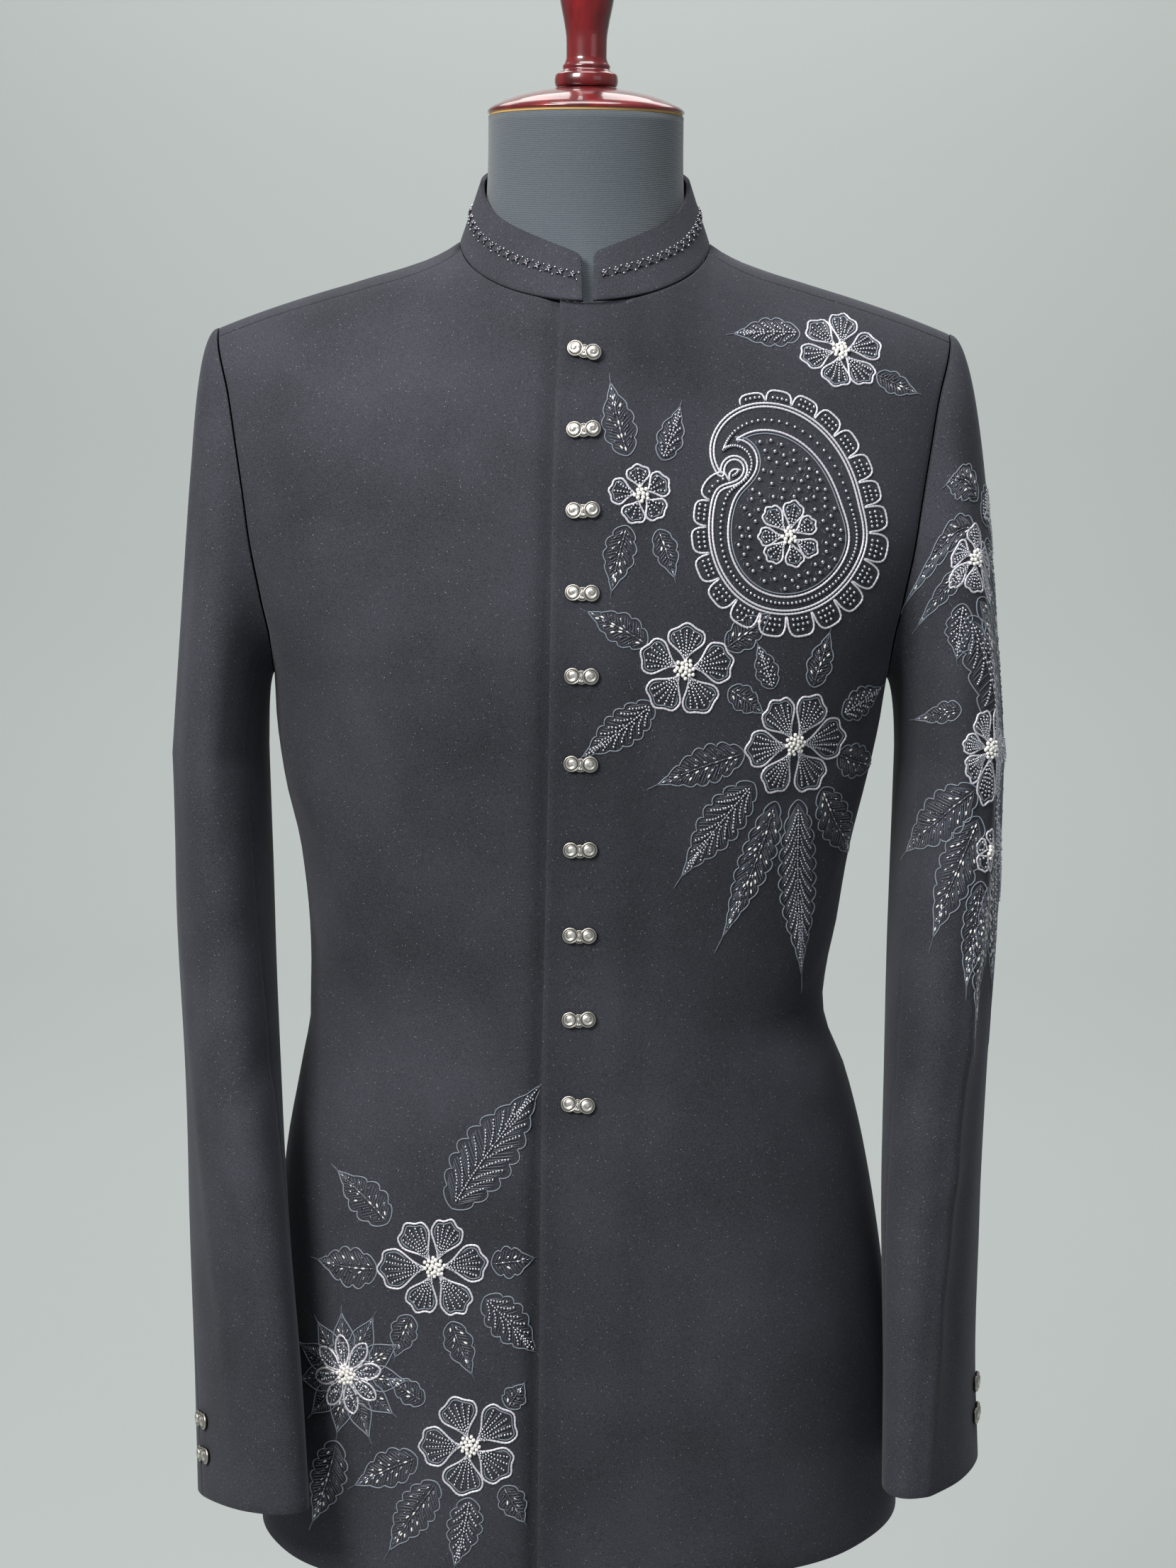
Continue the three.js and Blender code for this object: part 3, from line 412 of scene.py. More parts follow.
def panel_places(kind, side, columns=30, rows_low=46, rows_high=54):
    """The turn and rise of a panel on a grid, from its middle edge to the side and from hem to shoulder."""
    front = kind == "front"
    share = NECK_SHARE[kind]
    ps = np.concatenate([np.linspace(0, share, columns), np.linspace(share, 1, columns)[1:]])
    qs = 1 - (1 - np.linspace(0, 1, rows_high)) ** 1.25
    if front:
        edge = EDGE_X if side > 0 else (lambda height: np.full(np.shape(height), UNDER_EDGE))
        foot_height = NECKLINE["side"] - NECKLINE["front_drop"]
        neck_start = side * np.arcsin(edge(foot_height) / NECKLINE["half"]) / RAD

        def middle(rise):
            height = np.where(rise > 0, body_point(0, rise)[..., 2], ARMPIT + rise)
            return side * turn_at_x(edge(height), rise)
    else:
        neck_start = 180.0

        def middle(rise):
            return np.full(np.shape(rise), 180.0)

    neck_rise = float(neckline(neck_start)[1])
    low_middle = middle(np.array([0.0]))
    bottom = np.stack([mix(low_middle, 90, ps), 0 * ps], -1)
    left_rise = mix(0, neck_rise, qs)
    left = np.stack([middle(left_rise), left_rise], -1)
    seam = SHOULDER_SEAM if front else 180 - SHOULDER_SEAM
    right_rise = seam * (1 - np.cos(qs * 90 * RAD))
    right_turn = armhole_turn(np.minimum(right_rise, 180 - right_rise), ARMHOLE_FOOT[kind])
    right = np.stack([right_turn if front else 180 - right_turn, right_rise], -1)
    angle = mix(neck_start, NECK_POINT, np.clip(ps / share, 0, 1))
    neck_turn, neck_up = neckline(angle)
    if not front:
        past = angle < 90
        neck_turn = np.where(past, 180 - neck_turn, neck_turn)
        neck_up = np.where(past, 180 - neck_up, neck_up)
    along = np.clip((ps - share) / (1 - share), 0, 1)
    seam_turn = mix(neck_turn[columns - 1], right[-1, 0], along)
    on_neck = ps <= share
    top = np.stack([np.where(on_neck, neck_turn, seam_turn), np.where(on_neck, neck_up, seam)], -1)
    upper = coons(bottom, top, left, right, ps, qs)

    low_share = np.linspace(0, 1, rows_low)[:, None]
    low_turn = mix(middle(mix(HEM_HEIGHT - ARMPIT, 0, low_share)), 90, ps[None])
    across = np.sin(side * low_turn * RAD)
    hem = HEM_HEIGHT + HEM_SLANT * across * half_width(HEM_HEIGHT, across) + HEM_SWEEP * across**8
    lower = np.stack([low_turn, mix(hem - ARMPIT, 0, low_share)], -1)
    places = np.concatenate([lower, upper[1:]])
    return side * places[..., 0], places[..., 1]


def armhole_point(side, round_):
    round_ = np.mod(round_, 360)
    front = round_ <= 180
    way = np.where(front, round_, 360 - round_)
    rise = 90 * (1 - np.cos(way / 2 * RAD))
    turn = armhole_turn(rise, np.where(front, ARMHOLE_FOOT["front"], ARMHOLE_FOOT["back"]))
    return body_point(side * np.where(front, turn, 180 - turn), rise)


def side_word(side):
    return "left" if side > 0 else "right"


def sleeve_ring(side, round_, height):
    """A sleeve's section: a rounded oval, turned by its twist, set out and forward, and tilted."""
    at = SLEEVE[side_word(side)]
    c, s = np.cos(round_ * RAD), np.sin(round_ * RAD)
    power = 2 / SLEEVE_SQUARE
    outwards = -np.sign(c) * np.abs(c) ** power * at["across"](height)
    forwards = np.sign(s) * np.abs(s) ** power * at["deep"](height)
    twist = at["twist"](height) * RAD
    out = at["out"](height) + outwards * np.cos(twist) - forwards * np.sin(twist)
    forward = at["forward"](height) + forwards * np.cos(twist) + outwards * np.sin(twist)
    return np.stack([side * out, -forward, height + at["lift"](height) * s], -1)


def sleeve_point(side, round_, t):
    """A sleeve: for t up to 1 a cubic from the armhole to the first ring, then the rings down to the cuff."""
    round_, t = np.broadcast_arrays(np.asarray(round_, float), np.asarray(t, float))
    below = sleeve_ring(side, round_, mix(HEAD_END, CUFF_HEIGHTS[side_word(side)], np.maximum(t, 1) - 1))
    up = (1 - np.cos(round_ * RAD)) / 2
    flank = np.sin(round_ * RAD)

    def three(row):
        return row[0] * (1 - up) ** 2 + 2 * row[1] * up * (1 - up) + row[2] * up**2

    leave = unit(np.stack([side + 0 * up, -0.35 * flank, mix(-0.35, -0.05, up) - 0.35 * flank**2], -1))
    origin = armhole_point(side, round_) + leave * SEAM_GAP
    first = origin + leave * three(HEAD["start"])[..., None]
    to = sleeve_ring(side, round_, HEAD_END)
    second = to + np.stack([-side * HEAD["draw"] * up, 0 * up, three(HEAD["end"])], -1)
    s = np.clip(t, 0, 1)[..., None]
    head = origin * (1 - s) ** 3 + first * 3 * s * (1 - s) ** 2 + second * 3 * s * s * (1 - s) + to * s**3
    return np.where((t >= 1)[..., None], below, head)


def sleeve_cloth(side, round_, t, reach=0.01):
    """A sleeve's dressed surface and its normal."""
    around = sleeve_point(side, round_ + 90 * reach, t) - sleeve_point(side, round_ - 90 * reach, t)
    below, above = np.minimum(t + reach, 2), np.maximum(t - reach, 0)
    down = sleeve_point(side, round_, below) - sleeve_point(side, round_, above)
    normal = unit(side * np.cross(down, around))
    point = sleeve_point(side, round_, t)
    rows = SLEEVE_FOLDS + SLEEVE_CREASES[side_word(side)]
    folds = fold_depth(np.mod(round_, 360), point[..., 2], rows, SLEEVE_ARC)
    fade = ease(np.asarray(t) / 0.3)
    return point + normal * (folds * fade)[..., None], normal


def collar_point(angle, up):
    """The collar band: straight lines from the neckline to its own top oval."""
    turn, rise = neckline(np.abs(angle))
    low = body_point(np.where(angle < 0, -turn, turn), rise)
    forward = np.cos(angle * RAD)
    depth = np.where(forward > 0, COLLAR["front"], COLLAR["back"])
    sideways = np.abs(np.sin(angle * RAD))
    bow = np.where(forward > 0, COLLAR_BOW * 4 * sideways * (1 - sideways), 0)
    fall = forward * np.where(forward > 0, COLLAR_TOP["drop"], COLLAR_TOP["rise"])
    height = COLLAR_TOP["side"] + bow - fall
    high = np.stack([COLLAR["half"] * np.sin(angle * RAD), COLLAR["y"] - depth * forward, height], -1)
    start = low + unit(high - low) * SEAM_GAP
    return mix(start, high, np.asarray(up)[..., None])


def collar_cloth(angle, up):
    ahead = collar_point(angle + 0.5, up) - collar_point(angle - 0.5, up)
    upward = collar_point(angle, np.asarray(up) + 0.05) - collar_point(angle, np.asarray(up) - 0.05)
    return collar_point(angle, up), unit(np.cross(ahead, upward))


# Materials


def linear(code):
    """sRGB hex to linear colour."""
    parts = np.array([int(code[k : k + 2], 16) for k in (0, 2, 4)]) / 255
    return (*np.where(parts <= 0.04045, parts / 12.92, ((parts + 0.055) / 1.055) ** 2.4), 1)


def add_node(tree, kind, inputs=None, links=None, **settings):
    """Adds a node, sets its settings and input values, and links its inputs to other nodes' outputs."""
    made = tree.nodes.new(kind)
    for name, value in settings.items():
        setattr(made, name, value)
    for name, value in (inputs or {}).items():
        made.inputs[name].default_value = value
    for name, source in (links or {}).items():
        tree.links.new(source, made.inputs[name])
    return made


def new_material(name, **values):
    """A material with a Principled shader set to the given values, and its tree."""
    material = bpy.data.materials.new(name)
    material.use_nodes = True
    tree = material.node_tree
    shader = tree.nodes["Principled BSDF"]
    for key, value in values.items():
        shader.inputs[key.replace("_", " ")].default_value = value
    return material, tree, shader


def noise(tree, coords, scale, detail):
    inputs = {"Scale": scale, "Detail": detail}
    return add_node(tree, "ShaderNodeTexNoise", inputs, {"Vector": coords}).outputs["Fac"]


def calculate(tree, operation, numbers, sources):
    """A maths node; numbers and sources go by the place of its sockets."""
    return add_node(tree, "ShaderNodeMath", numbers, sources, operation=operation).outputs[0]


def bump(tree, shader, height, distance, strength=1.0):
    made = add_node(tree, "ShaderNodeBump", {"Strength": strength, "Distance": distance}, {"Height": height})
    tree.links.new(made.outputs["Normal"], shader.inputs["Normal"])


def ramp(tree, source, stops):
    """A colour ramp over (position, hex) stops."""
    made = add_node(tree, "ShaderNodeValToRGB", links={"Fac": source})
    elements = made.color_ramp.elements
    while len(elements) < len(stops):
        elements.new(0.5)
    for element, (place, code) in zip(elements, stops):
        element.position = place
        element.color = linear(code)
    return made.outputs["Color"]


def suiting():
    """Near-black worsted: a fine dull weave, a faint sheen where it turns away, a few specks of lint."""
    material, tree, shader = new_material(
        "black_suiting", Roughness=0.85, Sheen_Weight=0.14, Sheen_Roughness=0.4
    )
    shader.inputs["Sheen Tint"].default_value = linear("c8cad4")
    shader.inputs["Specular IOR Level"].default_value = 0.25
    coords = add_node(tree, "ShaderNodeTexCoord").outputs["Object"]
    weave, cloudy = noise(tree, coords, 1400.0, 2.0), noise(tree, coords, 14.0, 4.0)
    blend = calculate(tree, "MULTIPLY", {1: 0.65}, {0: weave})
    both = calculate(tree, "MULTIPLY_ADD", {1: 0.35}, {0: cloudy, 2: blend})
    cloth = ramp(tree, both, [(0.34, "1e2025"), (0.66, "3c3e46")])
    cells = add_node(tree, "ShaderNodeTexVoronoi", {"Scale": 330.0}, {"Vector": coords}).outputs["Distance"]
    speck = calculate(tree, "LESS_THAN", {1: 0.08}, {0: cells})
    # sockets 0, 6 and 7 of the mixer are its factor and its two colours, output 2 the colour
    dusty = add_node(tree, "ShaderNodeMix", {7: linear("7b7e86")}, {0: speck, 6: cloth}, data_type="RGBA")
    tree.links.new(dusty.outputs[2], shader.inputs["Base Color"])
    bump(tree, shader, weave, 0.0003, 0.7)
    return material


def jersey():
    """Slate-grey knit: fine level ribs about 1.1 mm apart, a little mottled."""
    material, tree, shader = new_material("form_jersey", Roughness=0.9, Sheen_Weight=0.3, Sheen_Roughness=0.5)
    coords = add_node(tree, "ShaderNodeTexCoord").outputs["Object"]
    ribs = add_node(
        tree,
        "ShaderNodeTexWave",
        {"Scale": 290.0, "Distortion": 1.5, "Detail": 2.0, "Detail Scale": 3.0},
        {"Vector": coords},
        bands_direction="Z",
    ).outputs["Fac"]
    grain = noise(tree, coords, 1500.0, 1.0)
    both = calculate(tree, "MULTIPLY_ADD", {1: 1.2}, {0: grain, 2: ribs})
    tree.links.new(ramp(tree, both, [(0.3, "373e44"), (1.5, "4c555c")]), shader.inputs["Base Color"])
    bump(tree, shader, both, 0.0003, 0.35)
    return material


def lacquer():
    """Cherry lacquer over turned wood: deep red with a faint darker grain under a hard gloss."""
    material, tree, shader = new_material(
        "cherry_lacquer", Roughness=0.3, Coat_Weight=1.0, Coat_Roughness=0.03
    )
    coords = add_node(tree, "ShaderNodeTexCoord").outputs["Object"]
    stretched = add_node(tree, "ShaderNodeMapping", {"Scale": (60.0, 60.0, 9.0)}, {"Vector": coords})
    grain = noise(tree, stretched.outputs["Vector"], 1.5, 5.0)
    tree.links.new(ramp(tree, grain, [(0.3, "3c0407"), (0.7, "7d1016")]), shader.inputs["Base Color"])
    return material


def antique_silver():
    """Cast alloy with worn silver plating: bright on what stands up, dark with age in the hollows."""
    material, tree, shader = new_material("antique_silver", Metallic=1.0, Roughness=0.42)
    relief = add_node(tree, "ShaderNodeAttribute", attribute_name="relief").outputs["Fac"]
    tone = ramp(tree, relief, [(0.1, "383432"), (0.35, "b2afa8"), (0.8, "e2e0da")])
    tree.links.new(tone, shader.inputs["Base Color"])
    return material


def plain(name, code, **values):
    material, _, shader = new_material(name, **values)
    shader.inputs["Base Color"].default_value = linear(code)
    return material


MATERIALS = {
    "suiting": suiting(),
    "jersey": jersey(),
    "lacquer": lacquer(),
    # bare pale wood, seen as a thin line under the neck cap's rim
    "bare_wood": plain("bare_wood", "c9a261", Roughness=0.6),
    "button_metal": antique_silver(),
    # glass seed beads with a gunmetal lining: each throws back a pale point of light from the dark cloth
    "black_beads": plain("gunmetal_glass_beads", "b4b6bf", Metallic=0.8, Roughness=0.2, Coat_Weight=1.0),
    # jet bugle beads of the collar, nearly as dark as the cloth, with a sharp glint each
    "jet_beads": plain("jet_bugle_beads", "56545f", Metallic=0.75, Roughness=0.16, Coat_Weight=1.0),
    # opaque white seed beads in the flower hearts
    "white_beads": plain("white_beads", "e9e8e4", Roughness=0.25, Coat_Weight=0.6),
    # twisted metallic cord, couched down as outlines
    "silver_cord": plain("silver_cord", "cecdd6", Metallic=0.3, Roughness=0.38),
    # dull grey machine thread of the leaf outlines
    "grey_thread": plain("grey_thread", "737e8a", Roughness=0.5, Sheen_Weight=0.3),
    # dark blue-grey satin stitches that fill the leaves
    "dim_thread": plain("dim_thread", "3c4450", Roughness=0.45, Sheen_Weight=0.4),
}


# Meshes


def make_mesh(name, points, faces, material):
    """A smooth mesh that rides on the part, from points in millimetres and arrays of faces."""
    mesh = bpy.data.meshes.new(name)
    points = np.asarray(points, float).reshape(-1, 3) * 0.001
    faces = faces if isinstance(faces, list) else [faces]
    corners = np.concatenate([np.full(len(rows), rows.shape[1]) for rows in faces])
    loops = np.concatenate([rows.ravel() for rows in faces])
    mesh.vertices.add(len(points))
    mesh.vertices.foreach_set("co", points.ravel())
    mesh.loops.add(len(loops))
    mesh.loops.foreach_set("vertex_index", loops)
    mesh.polygons.add(len(corners))
    mesh.polygons.foreach_set("loop_start", np.concatenate([[0], np.cumsum(corners)[:-1]]))
    mesh.polygons.foreach_set("use_smooth", np.ones(len(corners), bool))
    mesh.update(calc_edges=True)
    mesh.validate()
    mesh.materials.append(material)
    thing = bpy.data.objects.new(name, mesh)
    bpy.context.scene.collection.objects.link(thing)
    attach(thing, "root")
    return thing


def grid_faces(rows, columns, closed=False):
    """Quads of a grid of points, counter-clockwise with columns to the right and rows up."""
    j, i = np.meshgrid(np.arange(rows - 1), np.arange(columns if closed else columns - 1), indexing="ij")
    k = (i + 1) % columns
    low, high = j * columns, (j + 1) * columns
    return np.stack([low + i, low + k, high + k, high + i], -1).reshape(-1, 4)


def border_of(rows, columns):
    """Indices round the border of a grid, counter-clockwise."""
    low = np.arange(columns)
    right = np.arange(1, rows) * columns + columns - 1
    high = (rows - 1) * columns + np.arange(columns - 2, -1, -1)
    left = np.arange(rows - 2, 0, -1) * columns
    return np.concatenate([low, right, high, left])


def inward_of(grid):
    """Unit directions from the border points into a grid, in border order."""
    rows, columns = grid.shape[:2]
    pull = np.zeros(grid.shape)
    pull[0] += unit(grid[1] - grid[0])
    pull[-1] += unit(grid[-2] - grid[-1])
    pull[:, 0] += unit(grid[:, 1] - grid[:, 0])
    pull[:, -1] += unit(grid[:, -2] - grid[:, -1])
    return unit(pull.reshape(-1, 3)[border_of(rows, columns)])


def cloth_shell(name, grid, normals, wall, material, steps=5):
    """A piece of cloth: its outer grid, the same a wall's thickness in, and a half-round rim between them."""
    rows, columns = grid.shape[:2]
    border = border_of(rows, columns)
    inward = inward_of(grid)
    flat, away = grid.reshape(-1, 3).copy(), normals.reshape(-1, 3)
    flat[border] += inward * (SEAM_GAP / 2 + EDGE_ROUND)
    inner = flat - away * wall
    centre = (flat[border] + inner[border]) / 2
    rings = []
    for k in range(1, steps):
        a = np.pi * k / steps
        rings.append(centre + away[border] * (wall / 2 * np.cos(a)) - inward * (EDGE_ROUND * np.sin(a)))
    count = len(flat)
    faces = [grid_faces(rows, columns), grid_faces(rows, columns)[:, ::-1] + count]
    rims = [2 * count + k * len(border) + np.arange(len(border)) for k in range(steps - 1)]
    loops = [border, *rims, border + count]
    for ring, following in zip(loops, loops[1:]):
        faces.append(np.stack([following, np.roll(following, -1), np.roll(ring, -1), ring], -1))
    faces = np.concatenate(faces)
    across = np.cross(grid[0, 1] - grid[0, 0], grid[1, 0] - grid[0, 0])
    if across @ normals[0, 0] < 0:
        faces = faces[:, ::-1]
    return make_mesh(name, np.concatenate([flat, inner, *rings]), faces, material)


def dress(name, grid, normals, wall=WALL):
    piece = cloth_shell("cloth_" + name, grid, normals, wall, MATERIALS["suiting"])
    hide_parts(name)
    return piece


def build_body():
    for name, kind, side in (
        ("front_left", "front", 1),
        ("front_right", "front", -1),
        ("back_left", "back", 1),
        ("back_right", "back", -1),
    ):
        grid, normals = body_cloth(*panel_places(kind, side), name)
        if kind == "front":
            down = unit(grid[-2] - grid[-1])
            drop = OVERLAP_LIFT if side > 0 else UNDER_PRESS
            x = grid[-1, :, 0]
            near = ease((46 - np.abs(x)) / 26) if side > 0 else under_share(x)
            grid[-1] += down * (0.7 * drop * near)[:, None]
        dress(name, grid, normals)


def build_sleeves():
    ts = np.concatenate([np.linspace(0, 1, 44) ** 1.3, np.linspace(1, 2, 60)[1:]])[:, None]
    for word, side in (("left", 1), ("right", -1)):
        front = mix(*SLEEVE_SEAMS["front"], ts / 2)
        hind = mix(*SLEEVE_SEAMS["hind"], ts / 2)
        share = np.linspace(0, 1, 40)[None]
        for kind, low, high in (("upper", front, hind), ("under", hind, front + 360)):
            grid, normals = sleeve_cloth(side, mix(low, high, share), ts + 0 * share)
            dress(f"sleeve_{kind}_{word}", grid, normals)


def build_collar():
    left_low, left_high = COLLAR_ENDS["left"]
    right_low, right_high = COLLAR_ENDS["right"]
    start, corner = COLLAR_CORNER
    rounding = np.linspace(0, 90, 8)[1:] * RAD
    ups = np.concatenate([np.linspace(0, start, 12), start + (1 - start) * np.sin(rounding)])[:, None]
    cut = np.concatenate([np.zeros(12), corner * (1 - np.cos(rounding))])[:, None]
    share = np.linspace(0, 1, 150)[None]
    angle = mix(mix(left_low, left_high, ups) + cut, mix(right_low, right_high, ups) - cut + 360, share)
    angle = np.where(angle > 180, angle - 360, angle)
    grid, normals = collar_cloth(angle, ups + 0 * share)
    dress("collar", grid, normals, COLLAR["wall"])


# The form and its stand


def form_point(turn, rise):
    """The jacket's own surface drawn in by its ease, flattened at the arms."""
    at = body_point(turn, rise)
    chest = ease((at[..., 2] - ARMPIT) / (NECKLINE["side"] - 60 - ARMPIT))
    hips = ease((ARMPIT - at[..., 2]) / (ARMPIT - FORM["bottom"]))
    neck = 1.8 * ease((at[..., 2] - 1440) / 20)
    inset = WALL + mix(mix(FORM["chest"], FORM["shoulder"], chest), FORM["hip"], hips) + neck
    at = at - body_normal(turn, rise) * inset[..., None]
    plate = FORM["arm_plate"] + 6 * ease((at[..., 2] - 1300) / 120)
    over = np.abs(at[..., 0]) - plate
    flat = np.sign(at[..., 0]) * (plate - 8 + 8 * np.tanh((over + 8) / 8))
    at[..., 0] = np.where((at[..., 2] > ARMPIT - 30) & (over > -8), flat, at[..., 0])
    return at


def form_quarter(front, qs, ways):
    """Turn and rise of a quarter of the form's upper part, from its middle to the side."""
    turn, rise = neckline(90 * ways if front else 180 - 90 * ways)
    if not front:
        turn = np.maximum(turn, 180 - turn)
    middle = 0.0 if front else 180.0
    top = np.stack([turn, rise], -1)
    bottom = np.stack([mix(middle, 90, ways), 0 * ways], -1)
    left = np.stack([np.full(len(qs), middle), mix(0, rise[0], qs)], -1)
    corner = 0.6
    climb = 89 * (1 - np.cos(np.clip(qs / corner, 0, 1) * 90 * RAD))
    slide = np.clip((qs - corner) / (1 - corner), 0, 1)
    right = np.stack([mix(90, turn[-1], slide), np.where(qs < corner, climb, 89.5)], -1)
    return coons(bottom, top, left, right, ways, qs)


def build_form(quarter=26):
    ways = np.linspace(0, 1, quarter + 1)
    qs = np.linspace(0, 1, 40)[1:]
    low = np.linspace(FORM["bottom"] - ARMPIT, 0, 40)
    front, back = form_quarter(True, qs, ways), form_quarter(False, qs, ways)
    half = np.concatenate([front[:, :-1], back[:, ::-1]], 1)  # front middle to back middle
    turns = np.concatenate([ways[:-1] * 90, 180 - ways[::-1] * 90])
    lower = np.stack(np.broadcast_arrays(turns[None], low[:, None]), -1)
    half = np.concatenate([lower, half])
    left = form_point(half[..., 0], half[..., 1])
    right = form_point(-half[..., 0], half[..., 1])
    rings = np.concatenate([left, right[:, -2:0:-1]], 1)
    rings[0, :, 2] = FORM["bottom"]
    rings[-1, :, :2] *= NECK["draw"]
    angle = np.linspace(0, 2 * np.pi, rings.shape[1], endpoint=False)
    across, forward = NECK["half"] * np.sin(angle), -NECK["half"] * np.cos(angle)
    rises = np.linspace(0, 1, 26)[1:, None, None]
    settle = 1 - (1 - rises) ** 4
    around = mix(rings[-1][None, :, :2], np.stack([across, forward], -1)[None], settle)
    neck = np.concatenate([around, mix(rings[-1][None, :, 2:], NECK["top"], rises)], -1)
    rings = np.concatenate([rings, neck])
    solid_of_rings("torso_form", rings, MATERIALS["jersey"], "form_torso")


def solid_of_rings(name, rings, material, node):
    """A closed skin over rings of points, each end closed by one flat face."""
    rows, columns = rings.shape[:2]
    sides = grid_faces(rows, columns, closed=True)
    low = np.arange(columns)[None, ::-1]
    high = np.arange(columns)[None] + (rows - 1) * columns
    piece = make_mesh(name, rings, [sides, low, high], material)
    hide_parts(node)
    return piece


def lathe(name, profile, node, segments=120, per=6):
    """A turned piece: a smooth line through (radius, height) points, swept round the axis."""
    radii, heights = np.array(profile, float).T
    along = np.concatenate([[0], np.cumsum(np.hypot(np.diff(radii), np.diff(heights)))])
    fine = np.unique(np.concatenate([np.linspace(a, b, per + 1) for a, b in zip(along, along[1:])]))
    radius = smooth_reader(along, radii)(fine)[:, None]
    height = smooth_reader(along, heights)(fine)[:, None]
    angle = np.linspace(0, 2 * np.pi, segments, endpoint=False)[None]
    rings = np.stack([radius * np.cos(angle), radius * np.sin(angle), height + 0 * angle], -1)
    return solid_of_rings(name, rings, MATERIALS["lacquer"], node)


# Profiles of the turned pieces, each from the middle of its underside out and up to the middle of its top
# Columns: radius, height above the piece's own underside
CAP_PROFILE = [(50, 0), (58.2, 0), (58.4, 1.2), (59.4, 1.6), (59.6, 2.6), (58.6, 4.2)]
CAP_PROFILE += [(54, 7), (46, 10.4), (34, 13.8), (23, 16), (18, 16.8)]
FINIAL_PROFILE = [(12, 0), (17.6, 0), (18.8, 1.2), (19.2, 4), (18.6, 7.4), (16.6, 8.8), (15.2, 9.6)]
FINIAL_PROFILE += [(14.2, 10.8), (14.4, 12.4), (13.2, 14.6), (12.2, 18), (12.3, 28), (13.6, 38)]
FINIAL_PROFILE += [(15.6, 48), (17.4, 59), (18.2, 70), (17.2, 81), (13.4, 91), (8.6, 96.5), (7.0, 100)]
FINIAL_PROFILE += [(7.6, 103.4), (9.1, 107), (8.6, 111), (6, 114.6), (2, 116.6)]
FOOT_PROFILE = [(150, 0), (187, 0), (189.6, 1.2), (190, 4), (190, 14), (188.6, 18.4), (186, 21)]
FOOT_PROFILE += [(180, 22.4), (160, 23.2), (60, 23.6), (24, 24), (18, 24)]


def above(base, profile):
    return [(radius, base + height) for radius, height in profile]


def build_stand():
    foot = NECK["top"] + SEAM_GAP
    cap = lathe("turned_cap", above(foot, CAP_PROFILE), "neck_cap")
    cap.data.materials.append(MATERIALS["bare_wood"])
    for face in cap.data.polygons:
        if face.center.z * 1000 < foot + 1.3:
            face.material_index = 1
    base = foot + 17 + SEAM_GAP
    lathe("turned_finial", above(base, FINIAL_PROFILE), "finial", segments=72)
    tip = FORM["bottom"] - SEAM_GAP
    pole = [(10, 24.3), (15, 24.3), (15, 26), (15, 300), (15, tip - 2), (15, tip), (10, tip)]
    lathe("turned_pole", pole, "pole", segments=64)
    lathe("turned_foot", FOOT_PROFILE, "foot", segments=160)


# Buttons


# The three heads of a toggle: centre and radius in mm, and the way its scroll winds
HEADS = [(5.4, 0.0, 5.0, 1), (-5.4, 0.0, 5.0, -1), (0.0, -0.7, 4.3, 1)]


def button_relief(x, y):
    """How high a toggle stands and how deep its hollows are.

    Each head adds a flat dome, a groove inside its rim and a scroll of one arm that winds in to its middle;
    where two heads meet, the outer ones lie over the one between them.
    """
    relief = np.zeros(x.shape)
    for cx, cy, radius, way in HEADS:
        d = np.hypot(x - cx, y - cy) / radius
        bearing = np.arctan2(y - cy, (x - cx) * way)
        dome = 0.65 * np.sqrt(np.maximum(0, 1 - d**6))
        groove = -0.5 * np.exp(-(((d - 0.74) / 0.09) ** 2))
        scroll = 0.38 * np.cos(bearing - 7.5 * d) * ease((0.68 - d) / 0.12) * ease(d / 0.3)
        head = np.where(d < 1, dome + groove + scroll, 0)
        relief = np.maximum(relief, head) if cx else np.where(relief > 0.05, relief, 0.85 * head)
    return relief


def button_mesh(name, spot, across, normal, turn):
    """A cast toggle on rays from its middle to an outline round three discs, flat behind."""
    rays, steps = 120, 26
    angle = np.linspace(0, 2 * np.pi, rays, endpoint=False)[None]
    reach = np.zeros((1, rays))
    for cx, cy, radius, _ in HEADS:
        ahead = cx * np.cos(angle) + cy * np.sin(angle)
        inside = radius**2 + ahead**2 - cx**2 - cy**2
        reach = np.maximum(reach, np.where(inside > 0, ahead + np.sqrt(np.maximum(inside, 0)), 0))
    share = np.linspace(0, 1, steps)[1:, None]
    x, y = share * reach * np.cos(angle), share * reach * np.sin(angle)
    relief = button_relief(x, y)
    height = 1.0 + 1.2 * np.sqrt(np.maximum(0, 1 - share**6)) + relief
    height[-1] = 1.0
    u, v = np.concatenate([x, x[-1:] * 0.97]), np.concatenate([y, y[-1:] * 0.97])
    w = np.concatenate([height, np.full((1, rays), 0.25)])
    across = unit(across - normal * (across @ normal))
    up = np.cross(normal, across)
    across, up = across * np.cos(turn) + up * np.sin(turn), up * np.cos(turn) - across * np.sin(turn)
    rings = spot + u[..., None] * across + v[..., None] * up + w[..., None] * normal
    middle = spot + normal * height[0].mean()
    rows = len(u)
    faces = grid_faces(rows, rays, closed=True)[:, ::-1]
    i = np.arange(rays)
    fan = np.stack([np.full(rays, rows * rays), i, (i + 1) % rays], -1)
    back = ((rows - 1) * rays + np.arange(rays))[None, ::-1]
    points = np.concatenate([rings.reshape(-1, 3), middle[None]])
    piece = make_mesh(name, points, [faces, fan, back], MATERIALS["button_metal"])
    shine = np.concatenate([relief.ravel(), np.full(rays, 0.2), [relief[0].mean()]])
    piece.data.attributes.new("relief", "FLOAT", "POINT").data.foreach_set("value", shine)
    return piece


